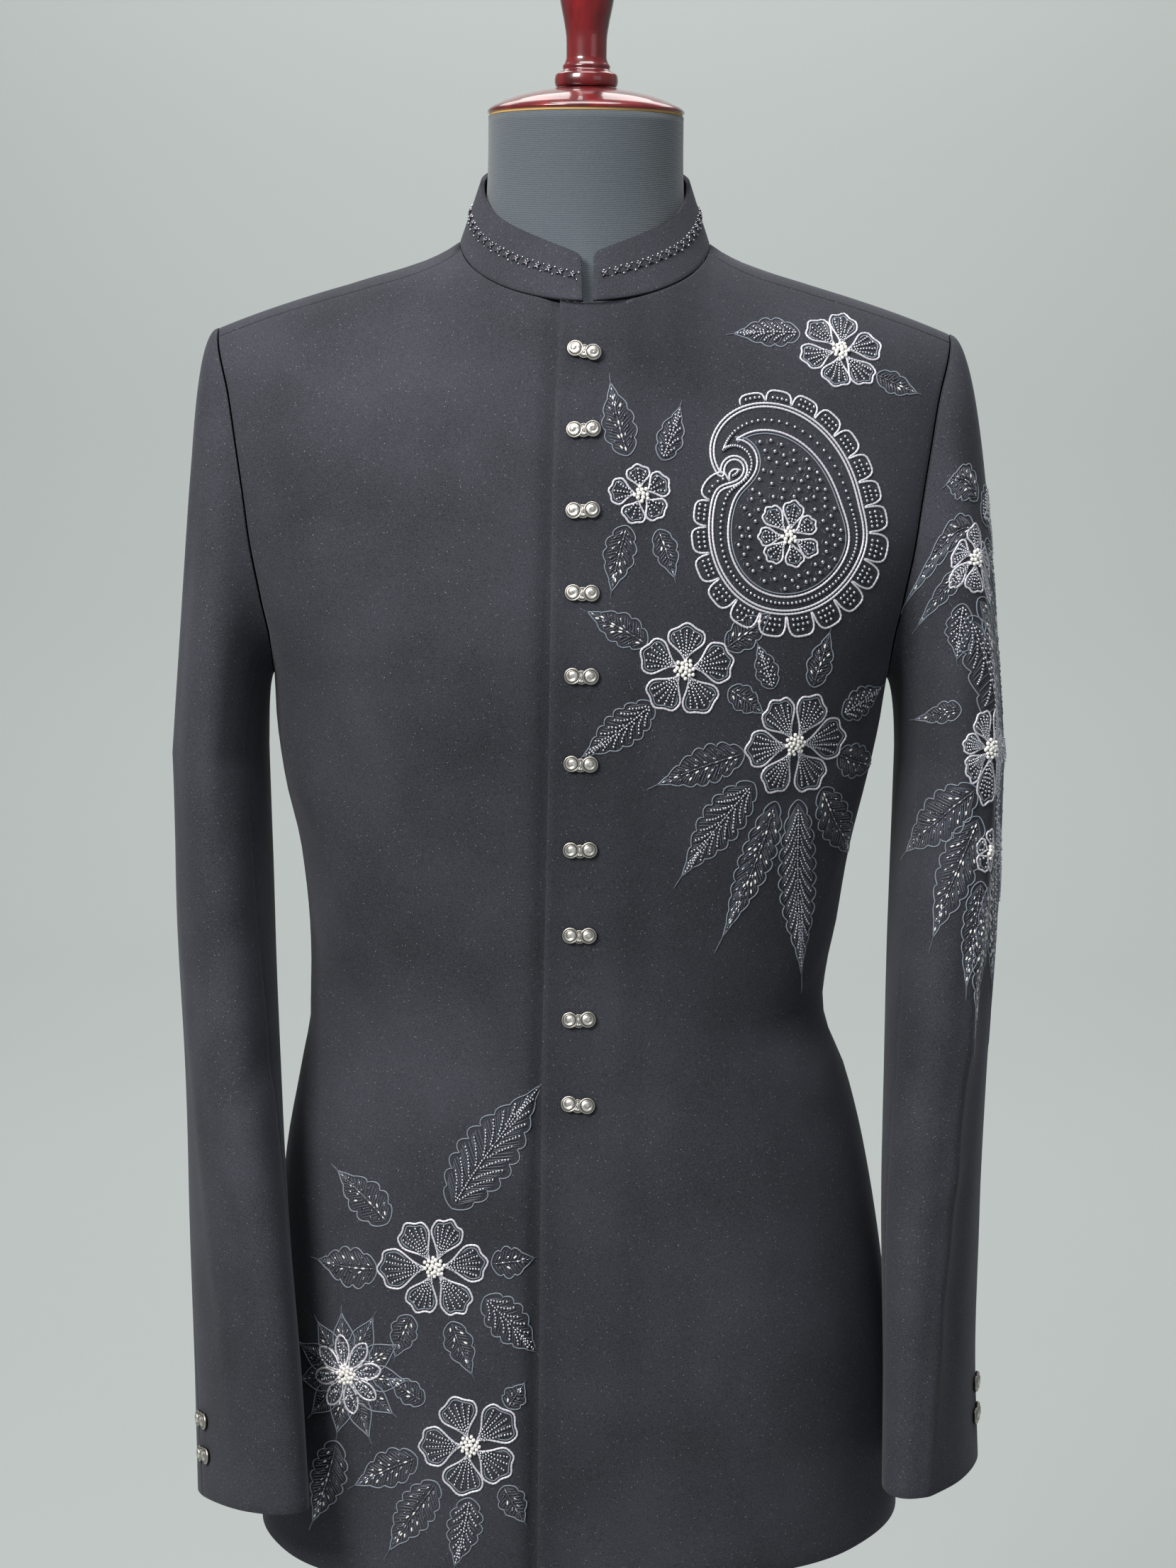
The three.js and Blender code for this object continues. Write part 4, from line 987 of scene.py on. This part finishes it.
def build_buttons():
    """A toggle in the place of each button solid, on the dressed cloth under it."""
    names = [f"button_{k}" for k in range(1, 11)]
    names += [f"cuff_button_{word}_{k}" for word in ("left", "right") for k in (1, 2)]
    for name in names:
        centre = np.mean([list(corner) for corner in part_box(name)], axis=0) * 1000
        turn = rng.normal(0, 0.05)
        if name.startswith("cuff"):
            spot, normal, across = cuff_spot(1 if "left" in name else -1, centre)
        else:
            spot, normal = front_spot(centre[0], centre[2])
            across = np.array([1.0, 0, 0])
        if name == "button_1":
            turn = -0.2  # hangs a little loose
        piece = button_mesh("cast_" + name, spot, across, normal, turn)
        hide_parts(name)


def front_place(x, z):
    """The turn and rise of the front surface at an x and a height, above and below the armpit."""
    power = ARCH_POWER["front"]
    share = np.clip((z - ARMPIT) / (RIDGE_HEIGHT(np.abs(x)) - ARMPIT), 0, 1)
    rise = np.where(z > ARMPIT, np.arcsin(share ** (power / 2)) / RAD, z - ARMPIT)
    return np.arcsin(np.clip(x / half_width(z, x), -1, 1)) / RAD, rise


def front_surface(piece):
    return lambda x, z: body_cloth(*front_place(x, z), piece)


def front_spot(x, z):
    point, normal = front_surface("front_left")(np.array([x]), np.array([z]))
    return point[0], normal[0]


def sleeve_surface(side):
    return lambda round_, t: sleeve_cloth(side, round_, t)


def cuff_spot(side, near):
    """The point of the outer sleeve nearest to a place, its normal, and the way round the arm."""
    rounds, ts = np.meshgrid(np.linspace(150, 215, 131), np.linspace(1.8, 2, 81))
    point, normal = sleeve_cloth(side, rounds, ts)
    best = np.unravel_index(np.argmin(np.linalg.norm(point - near, axis=-1)), rounds.shape)
    across = point[best[0], best[1] + 1] - point[best]
    return point[best], normal[best], unit(across)


# Embroidery


# Which share of the long beads is of each kind, as stretches of 0 to 1
LONG_BEAD_SHARES = {"jet_beads": (0, 0.45), "black_beads": (0.45, 0.8), "white_beads": (0.8, 1)}


class Design:
    """What is stitched on one piece: lines and beads, kept as places on its surface until they are built."""

    def __init__(self, surface):
        self.surface = surface
        self.lines = {"silver_cord": [], "grey_thread": [], "dim_thread": []}
        self.beads = {"black_beads": [], "white_beads": [], "jet_beads": []}

    def at(self, anchor, turn):
        """A function that lays flat (u, v) millimetres on the surface round an anchor, turned by degrees."""
        a, b = anchor
        small = 0.5 if abs(b) > 10 else 0.002
        step = np.array([[a, b], [a + 0.5, b], [a, b + small]], float)
        points, normals = self.surface(step[:, 0], step[:, 1])
        along_a, along_b = (points[1] - points[0]) / 0.5, (points[2] - points[0]) / small
        right = unit(along_a - normals[0] * (along_a @ normals[0]))
        upward = np.cross(normals[0], right)
        if upward[2] < 0:
            right, upward = -right, -upward
        metric = np.array([[along_a @ along_a, along_a @ along_b], [along_a @ along_b, along_b @ along_b]])
        basis = np.array([[along_a @ right, along_a @ upward], [along_b @ right, along_b @ upward]])
        c, s = np.cos(turn * RAD), np.sin(turn * RAD)
        both = np.linalg.solve(metric, basis) @ np.array([[c, -s], [s, c]])
        return lambda uv: np.array([a, b]) + np.asarray(uv, float) @ both.T

    def line(self, kind, places, closed=True):
        self.lines[kind].append((places, closed))

    def bead(self, kind, places, radius=0.85, length=0.0, heading=None):
        """Beads at places; heading is the place just ahead of each, for the long ones."""
        places = np.asarray(places, float).reshape(-1, 2)
        heading = places + [1e-3, 0] if heading is None else np.asarray(heading, float).reshape(-1, 2)
        each = np.zeros(len(places))
        self.beads[kind].append((places, heading, radius + each, length + each))

    def bead_row(self, place, start, end, bend=0.0, long=False):
        """A row of beads from one (u, v) to another, bowed sideways by bend; long ones lie along the row."""
        start, end = np.asarray(start, float), np.asarray(end, float)
        length = np.hypot(*(end - start))
        count = max(int(length / (3.9 if long else 1.8)), 1)
        t = (np.arange(count) + 0.5)[:, None] / count
        side = np.array([-(end - start)[1], (end - start)[0]]) / max(length, 1e-6)
        uv = mix(start, end, t) + side * bend * 4 * t * (1 - t) + rng.normal(0, 0.1, (count, 2))
        ahead = uv + (end - start) / length * 0.3 + side * bend * (1 - 2 * t) * 1.2 / length
        if long:
            draw_of = rng.random(count)
            for kind, (low, high) in LONG_BEAD_SHARES.items():
                some = (draw_of >= low) & (draw_of < high)
                self.bead(kind, place(uv[some]), 0.58, 2.9, place(ahead[some]))
        else:
            self.bead("black_beads", place(uv), rng.uniform(0.78, 0.9))


def turned(uv, angle):
    """Turns (u, v) about the origin by radians."""
    c, s = np.cos(angle), np.sin(angle)
    return np.asarray(uv, float) @ np.array([[c, s], [-s, c]])


def outset(line, distance):
    """A closed counter-clockwise line moved outwards."""
    step = np.roll(line, -1, axis=0) - np.roll(line, 1, axis=0)
    return line + unit(np.stack([step[:, 1], -step[:, 0]], -1)) * distance


def petal_line(inner, outer, half_angle, bumps, points=64):
    """A petal along +u, a wedge that is widest near its wavy outer edge.

    With s from 0 at the heart to 1, its reach goes by s and its half angle by sin(pi s^1.6)^0.5.
    """
    t = np.linspace(0, 2 * np.pi, points, endpoint=False)
    share = (1 - np.cos(t)) / 2
    ripple = 1 + 0.045 * np.cos(bumps * (t - np.pi)) * share**4
    reach = inner + (outer - inner) * share * ripple
    angle = -half_angle * np.sign(np.sin(t)) * np.sin(np.pi * share**1.6) ** 0.5
    return np.stack([reach * np.cos(angle), reach * np.sin(angle)], -1)[::-1]


def flower(design, anchor, radius, petals, turn=0.0, rows=4):
    """Cord-edged petals with a thread round them and rows of beads that fan from a heart of white ones."""
    place, heart = design.at(anchor, turn), 0.12 * radius + 2.6
    for k in range(petals):
        theta = 2 * np.pi * k / petals + rng.normal(0, 0.04)
        outer, half = radius * rng.uniform(0.9, 1.08), np.pi / petals * rng.uniform(0.84, 0.94)
        outline = petal_line(heart * 0.8, outer, half, rng.uniform(7.5, 10.5))
        design.line("silver_cord", place(turned(outline, theta)))
        design.line("grey_thread", place(turned(outset(outline, 1.7)[14:-14], theta)), closed=False)
        for f in np.linspace(-0.66, 0.66, rows):
            near, far = heart + 0.8 + 2.2 * abs(f), outer * (0.9 - 0.13 * f * f)
            start = near * np.array([np.cos(0.7 * f * half), np.sin(0.7 * f * half)])
            end = far * np.array([np.cos(0.95 * f * half), np.sin(0.95 * f * half)])
            design.bead_row(place, turned(start, theta), turned(end, theta), bend=-f * 0.8)
            between = mix(start, end, np.linspace(0.35, 0.95, 5)[:, None]) + turned([0, 1.4], f * half)
            design.line("dim_thread", place(turned(between, theta)), closed=False)
    hearts(design, place, heart)


def hearts(design, place, radius):
    """White beads packed by the golden angle."""
    k = np.arange(int(0.8 * (radius / 1.2) ** 2))
    reach, angle = radius * np.sqrt((k + 0.5) / len(k)), k * 2.39996
    uv = np.stack([reach * np.cos(angle), reach * np.sin(angle)], -1) + rng.normal(0, 0.12, (len(k), 2))
    design.bead("white_beads", place(uv), 1.3 + 0.4 * (1 - reach / radius))


def leaf(design, anchor, length, width, turn, lobes=6, bend=0.0, long=True):
    """A lobed leaf from its stalk along +u: thread outline, satin stitches, beads on midrib and veins."""
    place = design.at(anchor, turn)

    def rib(s):
        return np.stack([length * s, bend * s * s], -1)

    def half(s):
        body = np.sin(np.pi * np.clip(s, 0, 1) ** 0.75) ** (0.7 + 0.6 * s)
        return width / 2 * body * (0.86 + 0.3 * np.abs(np.sin(np.pi * lobes * s)) ** 0.6)

    s = np.linspace(0, 1, 16 * lobes + 1)
    side = np.stack([0 * s, half(s)], -1)
    outline = np.concatenate([rib(s) - side, (rib(s) + side)[-2:0:-1]])
    design.line("grey_thread", place(outline))
    design.line("dim_thread", place(rib(np.linspace(0.02, 1.12, 20))), closed=False)
    design.bead_row(place, rib(0.05), rib(0.5), bend=-0.25 * bend * 0.25, long=long)
    design.bead_row(place, rib(0.52), rib(0.95), bend=-0.25 * bend * 0.2, long=long)
    for a in np.arange(2.0, length * 0.84, 1.9) / length:
        for way in (1, -1):
            end = rib(a + 0.12) + [0, way * half(a + 0.12) * 0.84]
            design.line("dim_thread", place(mix(rib(a), end, np.linspace(0.06, 1, 4)[:, None])), closed=False)
    for k in range(lobes):
        a, b = 0.07 + 0.74 * k / lobes, 0.19 + 0.74 * (k + 0.5) / lobes
        for way in (1, -1):
            start, end = rib(a) + [0, way * 1.3], rib(b) + [0, way * half(b) * 0.74]
            design.bead_row(place, start, end, bend=-way * 0.9, long=long)


def double_flower(design, anchor, radius, turn=0.0):
    """Pointed outer petals in thread, shorter pointed ones in cord, a white heart."""
    place = design.at(anchor, turn)
    for k in range(11):
        leaf(design, anchor, radius * rng.uniform(0.92, 1.05), radius * 0.44, turn + 360 / 11 * k, lobes=2)
    for k in range(8):
        theta = 2 * np.pi * (k + 0.3) / 8
        t = np.linspace(0, 2 * np.pi, 40, endpoint=False)
        reach = 4.5 + (radius * 0.6 - 4.5) * (1 - np.abs(np.cos(t / 2)) ** 1.4)
        angle = 0.34 * np.sin(t)
        outline = np.stack([reach * np.cos(angle), reach * np.sin(angle)], -1)
        design.line("silver_cord", place(turned(outline, theta)))
        for f in (-0.1, 0.1):
            start, end = 8 * np.array([1, f]), radius * 0.5 * np.array([1, f])
            design.bead_row(place, turned(start, theta), turned(end, theta))
    hearts(design, place, 6.4)


def paisley_spine(size, s):
    """The middle line of a paisley and its left: straight up through the bowl, then bent over to a hook."""
    fine = np.linspace(0, 1, 400)
    heading = (90 - 16 * ease(fine / 0.5) + 205 * np.clip((fine - 0.42) / 0.58, 0, 1) ** 1.7) * RAD
    step = 3.15 * size / 400
    line = np.cumsum(np.stack([np.cos(heading), np.sin(heading)], -1) * step, axis=0) - [0, size]
    at = np.stack([np.interp(s, fine, line[:, k]) for k in range(2)], -1)
    angle = np.interp(s, fine, heading)
    return at, np.stack([-np.sin(angle), np.cos(angle)], -1)


def paisley_line(size, girth=1.0, start=0.0, end=1.0, points=130):
    """A paisley's outline, up its right side and down its left, widest where the bowl's circle is."""
    s = 0.5 - 0.5 * np.cos(np.linspace(0, np.pi, points))
    rise, fall = np.clip(s / 0.31, 0, 1), np.clip((s - 0.31) / 0.69, 0, 1)
    half = girth * size * np.where(s < 0.31, np.sqrt(1 - (1 - rise) ** 2), np.cos(np.pi / 2 * fall) ** 1.35)
    at, left = paisley_spine(size, mix(start, end, s))
    return np.concatenate([at - left * half[:, None], (at + left * half[:, None])[-2:0:-1]])


def paisley(design, anchor, size, turn, lobes=21):
    """A paisley in nested cords with a fringe of beaded lobes, stippled beads and a flower in its bowl."""
    place = design.at(anchor, turn)
    outline = paisley_line(size)
    design.line("silver_cord", place(outline))
    design.line("silver_cord", place(outset(outline, 2.1)))
    inner = paisley_line(size, 0.8, 0.055, 0.83)
    design.line("silver_cord", place(inner))
    design.line("grey_thread", place(outset(inner, -1.9)))
    design.bead("black_beads", place(paisley_line(size, 0.9, 0.03, 0.9)[::2]), 1.05)
    fringe(design, place, outline, lobes)
    field = paisley_line(size, 0.7, 0.085, 0.76)
    middle = paisley_spine(size, 0.3)[0]
    stipple(design, place, field, middle, size * 0.47)
    bowl = place(middle[None])[0]
    flower(design, tuple(bowl), size * 0.42, 7, turn=turn + 12, rows=3)


def fringe(design, place, outline, lobes):
    """Round lobes that stand outwards from the lower part of an outline, each with a few beads in it."""
    ring = np.roll(outline, len(outline) // 2, axis=0)[int(0.16 * len(outline)) : int(0.86 * len(outline))]
    out = outset(ring, 1)[1:-1] - ring[1:-1]
    ring = ring[1:-1]
    along = np.concatenate([[0], np.cumsum(np.hypot(*np.diff(ring, axis=0).T))])
    for k in range(lobes):
        centre, half = (k + 0.5) / lobes * along[-1], along[-1] / lobes / 2
        deep = 3.5 + 9.5 * np.sin(np.pi * (k + 0.5) / lobes) ** 0.7
        t = np.linspace(-1, 1, 26)
        at = centre + half * 0.96 * t * (1 + 0.12 * (1 - t**2))
        lift = 3.2 + deep * np.maximum(0, 1 - t**4) ** 0.6
        foot = np.stack([np.interp(at, along, ring[:, i]) for i in range(2)], -1)
        away = unit(np.stack([np.interp(at, along, out[:, i]) for i in range(2)], -1))
        design.line("silver_cord", place(foot + away * lift[:, None]), closed=False)
        for level in np.arange(5.4, deep + 1.6, 3.3):
            row = slice(6, 20, 4) if level < 9 else slice(9, 17, 4)
            design.bead("black_beads", place(foot[row] + away[row] * level), 1.05)


def stipple(design, place, field, middle, clear, gap=4.6):
    """Single beads spread over a field a gap apart, clear of its middle, with short stitches between."""
    low, high = field.min(0), field.max(0)
    spots = rng.uniform(low, high, (2400, 2))
    keep = []
    for spot in spots:
        if np.hypot(*(spot - middle)) < clear or not inside(field, spot):
            continue
        if all(np.hypot(*(spot - other)) > gap for other in keep):
            keep.append(spot)
    keep = np.array(keep)
    design.bead("black_beads", place(keep), 1.3)
    for spot in keep:
        angle = rng.uniform(0, np.pi)
        stitch = turned([[-1.6, 1.9], [0, 2.3], [1.6, 1.9]], angle) + spot
        design.line("dim_thread", place(stitch), closed=False)


def inside(line, spot):
    """Whether a spot lies in a closed line: an odd number of its sides cross the ray to the right."""
    x, y = line.T
    nx, ny = np.roll(line, -1, axis=0).T
    crosses = (y > spot[1]) != (ny > spot[1])
    at = x + (spot[1] - y) * (nx - x) / np.where(crosses, ny - y, 1)
    return bool(np.sum(crosses & (at > spot[0])) % 2)


def draw(design, flowers, leaves):
    """Places flowers and leaves from their tables."""
    for a, b, radius, petals, turn, rows in flowers:
        flower(design, (a, b), radius, petals, turn, rows)
    for a, b, length, width, turn, lobes, bend, long in leaves:
        leaf(design, (a, b), length, width, turn, lobes, bend, long)


# Places are x and height in mm on the fronts, and degrees round the arm and t down it on the sleeve
# Columns of flowers: a, b, radius, petals, turn, rows of beads in a petal
# Columns of leaves: a, b, length, width, turn, lobes, bend, whether its beads are long
CHEST_FLOWERS = [
    (152, 1410, 25, 6, 10, 4),
    (34, 1326, 18, 5, 30, 3),
    (60, 1226, 28, 5, 12, 5),
    (126, 1180, 33, 6, 5, 5),
]
CHEST_LEAVES = [
    (128, 1420, 42, 19, 176, 5, 4, False),
    (174, 1396, 28, 14, 330, 4, 2, True),
    (26, 1348, 44, 18, 108, 5, -4, True),
    (46, 1346, 34, 14, 66, 4, 2, False),
    (26, 1308, 40, 17, 252, 5, 3, True),
    (44, 1306, 30, 13, 292, 4, -2, True),
    (38, 1240, 40, 17, 146, 5, 4, True),
    (42, 1206, 52, 20, 222, 7, -4, False),
    (84, 1238, 34, 16, 34, 4, 2, True),
    (86, 1214, 26, 14, 330, 4, -2, True),
    (96, 1176, 56, 21, 194, 7, 5, True),
    (102, 1158, 70, 25, 228, 8, 6, False),
    (116, 1146, 86, 21, 256, 10, -8, True),
    (130, 1146, 112, 24, 274, 12, 10, False),
    (144, 1152, 62, 22, 302, 7, 6, True),
    (154, 1172, 40, 19, 338, 5, 3, True),
    (156, 1196, 36, 18, 26, 5, -2, False),
    (136, 1214, 34, 16, 74, 4, 0, True),
    (112, 1214, 28, 13, 112, 4, 0, False),
]
SLEEVE_FLOWERS = [
    (122, 0.56, 22, 6, 20, 5),
    (119, 0.97, 27, 7, 50, 5),
    (124, 1.12, 13, 5, 10, 2),
]
SLEEVE_LEAVES = [
    (125, 0.5, 54, 20, 94, 6, 4, True),
    (111, 0.52, 34, 16, 128, 5, 3, True),
    (106, 0.58, 36, 17, 190, 5, 3, False),
    (137, 0.5, 46, 18, 60, 5, 3, True),
    (141, 0.57, 44, 18, 350, 5, 3, False),
    (109, 0.64, 86, 34, 234, 9, 9, False),
    (119, 0.65, 70, 22, 258, 7, -5, True),
    (129, 0.64, 96, 24, 275, 10, -6, True),
    (140, 0.62, 84, 24, 294, 9, -5, True),
    (151, 0.6, 70, 20, 306, 8, -4, False),
    (93, 0.84, 32, 16, 136, 4, -3, True),
    (131, 0.85, 44, 18, 68, 5, 3, True),
    (140, 0.98, 48, 19, 348, 5, 3, False),
    (106, 1.03, 66, 25, 214, 7, 7, True),
    (111, 1.07, 80, 25, 240, 8, 7, True),
    (117, 1.16, 64, 21, 258, 7, 4, True),
    (125, 1.17, 92, 21, 270, 9, -5, True),
    (134, 1.14, 76, 21, 286, 8, -4, True),
    (146, 1.08, 64, 19, 298, 7, -4, False),
]
HEM_FLOWERS = [
    (-84, 868, 32, 6, 8, 5),
    (-62, 762, 30, 5, 40, 5),
]
HEM_LEAVES = [
    (-74, 904, 92, 32, 60, 9, -8, False),
    (-112, 892, 44, 22, 136, 5, 5, True),
    (-118, 864, 42, 22, 186, 5, -3, True),
    (-50, 872, 26, 17, 8, 4, 0, True),
    (-54, 852, 46, 22, 318, 6, -4, False),
    (-74, 836, 34, 16, 290, 4, 2, True),
    (-98, 838, 28, 15, 246, 4, 2, True),
    (-40, 786, 18, 13, 56, 3, 0, True),
    (-90, 786, 26, 14, 150, 4, 0, True),
    (-94, 752, 44, 20, 204, 5, 4, True),
    (-82, 738, 54, 21, 234, 7, 3, True),
    (-62, 730, 44, 19, 262, 6, -3, False),
    (-42, 738, 26, 15, 300, 4, 0, True),
    (-142, 756, 58, 23, 256, 7, -5, True),
]


def chest_design():
    design = Design(front_surface("front_left"))
    paisley(design, (117, 1304), 46, 12)
    draw(design, CHEST_FLOWERS, CHEST_LEAVES)
    return design


def sleeve_design():
    design = Design(sleeve_surface(1))
    draw(design, SLEEVE_FLOWERS, SLEEVE_LEAVES)
    return design


def hem_design():
    design = Design(front_surface("front_right"))
    draw(design, HEM_FLOWERS, HEM_LEAVES)
    double_flower(design, (-136, 798), 40)
    return design


def collar_design(length=6.4, pitch=7.0):
    """Crosses of long dark beads along the band's middle, with small paler ones between their arms."""
    design = Design(collar_cloth)
    for side, start in ((1, 10.0), (-1, 6.0)):
        for angle in np.arange(start, 179, pitch / 68 / RAD):
            place = design.at((side * angle, 0.5), 0)
            for way in (42 * RAD, -42 * RAD):
                ahead = 0.5 * np.array([np.cos(way), np.sin(way)])
                design.bead("jet_beads", place([0, 0]), 0.8, length, heading=place(ahead))
            design.bead("black_beads", place([[3.5, 2.5], [3.5, -2.5], [0, 2.2]]), rng.uniform(0.5, 0.8, 3))
    return design


LINE_RADIUS = {"silver_cord": 0.66, "grey_thread": 0.42, "dim_thread": 0.45}


def build_lines(name, surface, lines, kind):
    """Cords as tubes half sunk in the cloth, thinned at open ends; the silver one shows its twist."""
    radius, cord = LINE_RADIUS[kind], kind == "silver_cord"
    sides = 6 if cord else 4
    a = np.linspace(0, 2 * np.pi, sides, endpoint=False) + np.pi / sides
    all_points, all_faces, count = [], [], 0
    for places, closed in lines:
        points, normals = surface(places[:, 0], places[:, 1])
        if closed:
            points, normals = np.concatenate([points, points[:1]]), np.concatenate([normals, normals[:1]])
        along = np.concatenate([[0], np.cumsum(np.linalg.norm(np.diff(points, axis=0), axis=1))])
        n = max(int(along[-1] / (1.1 if cord else 1.9)) // 2 * 2, 4)
        at = np.linspace(0, along[-1], n, endpoint=not closed)
        line = np.stack([np.interp(at, along, points[:, k]) for k in range(3)], -1)
        away = unit(np.stack([np.interp(at, along, normals[:, k]) for k in range(3)], -1))
        ahead = np.roll(line, -1, axis=0) - np.roll(line, 1, axis=0) if closed else np.gradient(line, axis=0)
        side = unit(np.cross(unit(ahead), away))
        girth = radius * (1 + (0.15 if cord else 0) * (-1.0) ** np.arange(n))
        if not closed:
            girth = girth * np.clip(np.minimum(np.arange(n), n - 1 - np.arange(n)) / 1.5 + 0.15, 0, 1)
        sideways, outwards = np.cos(a)[None, :, None], (0.8 * np.sin(a) + 0.4)[None, :, None]
        ring = side[:, None] * sideways + away[:, None] * outwards
        all_points.append((line[:, None] + ring * girth[:, None, None]).reshape(-1, 3))
        faces = grid_faces(n + 1 if closed else n, sides, closed=True)
        all_faces.append(np.where(faces >= n * sides, faces - n * sides, faces) + count)
        if not closed:
            cap = np.array([[0, 1, 2, 3], [0, 3, 4, 5]] if cord else [[0, 1, 2, 3]])
            all_faces += [cap[:, ::-1] + count, cap + count + (n - 1) * sides]
        count += n * sides
    return make_mesh(name, np.concatenate(all_points), np.concatenate(all_faces)[:, ::-1], MATERIALS[kind])


def build_beads(name, surface, beads, kind):
    """Beads as small rounded bodies that sit on the cloth; a long one is stretched along its heading."""
    places, heading, radius, length = (np.concatenate([row[k] for row in beads]) for k in range(4))
    points, normals = surface(places[:, 0], places[:, 1])
    ahead, _ = surface(heading[:, 0], heading[:, 1])
    side = unit(np.cross(normals, unit(ahead - points)))
    along = np.cross(side, normals)
    a = np.linspace(0, 2 * np.pi, 6, endpoint=False)
    rings = [np.stack([0.9 * np.cos(a), 0.9 * np.sin(a), np.full(6, z)], -1) for z in (-0.5, 0.5)]
    base = np.concatenate([[[0, 0, -1]], *rings, [[0, 0, 1]]])
    low, high = 1 + np.arange(6), 7 + np.arange(6)
    faces = [
        np.stack([np.zeros(6, int), np.roll(low, -1), low], -1),
        np.stack([low, np.roll(low, -1), np.roll(high, -1)], -1),
        np.stack([low, np.roll(high, -1), high], -1),
        np.stack([np.full(6, 13), high, np.roll(high, -1)], -1),
    ]
    half = np.maximum(radius * 0.9, length / 2)
    body = (
        (points + normals * (radius * 0.7)[:, None])[:, None]
        + along[:, None] * (base[None, :, 2:] * half[:, None, None])
        + side[:, None] * (base[None, :, :1] * radius[:, None, None])
        + normals[:, None] * (base[None, :, 1:2] * radius[:, None, None])
    )
    all_faces = (np.concatenate(faces)[None] + 14 * np.arange(len(body))[:, None, None]).reshape(-1, 3)
    return make_mesh(name, body, all_faces, MATERIALS[kind])


def build_embroidery():
    designs = {
        "chest": chest_design(),
        "sleeve": sleeve_design(),
        "hem": hem_design(),
        "collar": collar_design(),
    }
    for where, design in designs.items():
        for kind, lines in design.lines.items():
            if lines:
                build_lines(f"{kind}_{where}", design.surface, lines, kind)
        for kind, beads in design.beads.items():
            if beads:
                build_beads(f"{kind}_{where}", design.surface, beads, kind)


# Studio


# The floor's line from front to back and up the wall. Columns: y, height
BACKDROP_RUN = [(-8000, 0), (4600, 0), (5400, 60), (6000, 280), (6400, 700)]
BACKDROP_RUN += [(6580, 1300), (6640, 2000), (6660, 6000)]


def build_stage():
    """A pale seamless floor that curves up into a back wall."""
    run = np.array(BACKDROP_RUN, float)
    along = np.concatenate([[0], np.cumsum(np.hypot(*np.diff(run, axis=0).T))])
    fine = np.linspace(0, along[-1], 160)
    y, z = smooth_reader(along, run[:, 0])(fine), smooth_reader(along, run[:, 1])(fine)
    xs = np.array([-9000.0, 9000.0])
    points = np.stack([xs[None] + 0 * y[:, None], y[:, None] + 0 * xs[None], z[:, None] + 0 * xs[None]], -1)
    material = plain("pale_backdrop", "b6bcbb", Roughness=0.9)
    floor = make_mesh("backdrop", points, grid_faces(len(fine), 2), material)
    floor.parent = None
    del floor["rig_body"]


def add_light(name, place, target, size, power, colour):
    light = bpy.data.lights.new(name, "AREA")
    light.shape = "RECTANGLE"
    light.size, light.size_y = size
    light.energy = power
    light.color = linear(colour)[:3]
    lamp = bpy.data.objects.new(name, light)
    lamp.location = place
    lamp.rotation_euler = (Vector(target) - Vector(place)).to_track_quat("-Z", "Y").to_euler()
    bpy.context.scene.collection.objects.link(lamp)


def build_camera():
    """The photograph's view: two metres off, 7.1 degrees down, half a degree of roll."""
    pitch, roll = 7.1 * RAD, 0.5 * RAD
    forward = np.array([0, np.cos(pitch), -np.sin(pitch)])
    up = np.array([0, np.sin(pitch), np.cos(pitch)])
    right = np.array([1.0, 0, 0])
    right, up = right * np.cos(roll) + up * np.sin(roll), up * np.cos(roll) - right * np.sin(roll)
    target = np.array([0.0047, 0, 1.143])
    place = target - forward * 2.03
    data = bpy.data.cameras.new("camera")
    data.sensor_width = 36
    data.lens = 18 / np.tan(13.46 * RAD)
    camera = bpy.data.objects.new("camera", data)
    matrix = np.eye(4)
    matrix[:3, 0], matrix[:3, 1], matrix[:3, 2], matrix[:3, 3] = right, up, -forward, place
    camera.matrix_world = Matrix(matrix.tolist())
    bpy.context.scene.collection.objects.link(camera)
    bpy.context.scene.camera = camera


def build_studio():
    build_stage()
    add_light("key", (-1.6, -2.0, 2.9), (0, 0, 1.3), (1.2, 1.0), 118, "fffaf6")
    add_light("fill", (1.9, -2.2, 2.0), (0, 0, 1.1), (1.4, 1.4), 4, "f4f8ff")
    add_light("top", (0.0, -0.4, 3.5), (0, 0, 1.2), (1.6, 1.2), 44, "ffffff")
    add_light("wall", (0.0, 4.2, 4.4), (0.0, 6.7, 1.4), (5.0, 1.0), 90, "fcfbf8")
    add_light("floor", (0.0, 3.4, 4.2), (0.0, 3.6, 0.0), (5.0, 2.4), 86, "fcfbf8")
    world = bpy.data.worlds.new("studio")
    world.use_nodes = True
    world.node_tree.nodes["Background"].inputs["Color"].default_value = linear("e6e9ec")
    world.node_tree.nodes["Background"].inputs["Strength"].default_value = 0.3
    scene = bpy.context.scene
    scene.world = world
    scene.render.engine = "CYCLES"
    scene.render.resolution_x, scene.render.resolution_y = 1659, 2212
    scene.cycles.samples = 96
    scene.cycles.use_denoising = True
    scene.view_settings.view_transform = "Standard"
    build_camera()


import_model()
build_body()
build_sleeves()
build_collar()
build_form()
build_stand()
build_buttons()
build_embroidery()
build_studio()
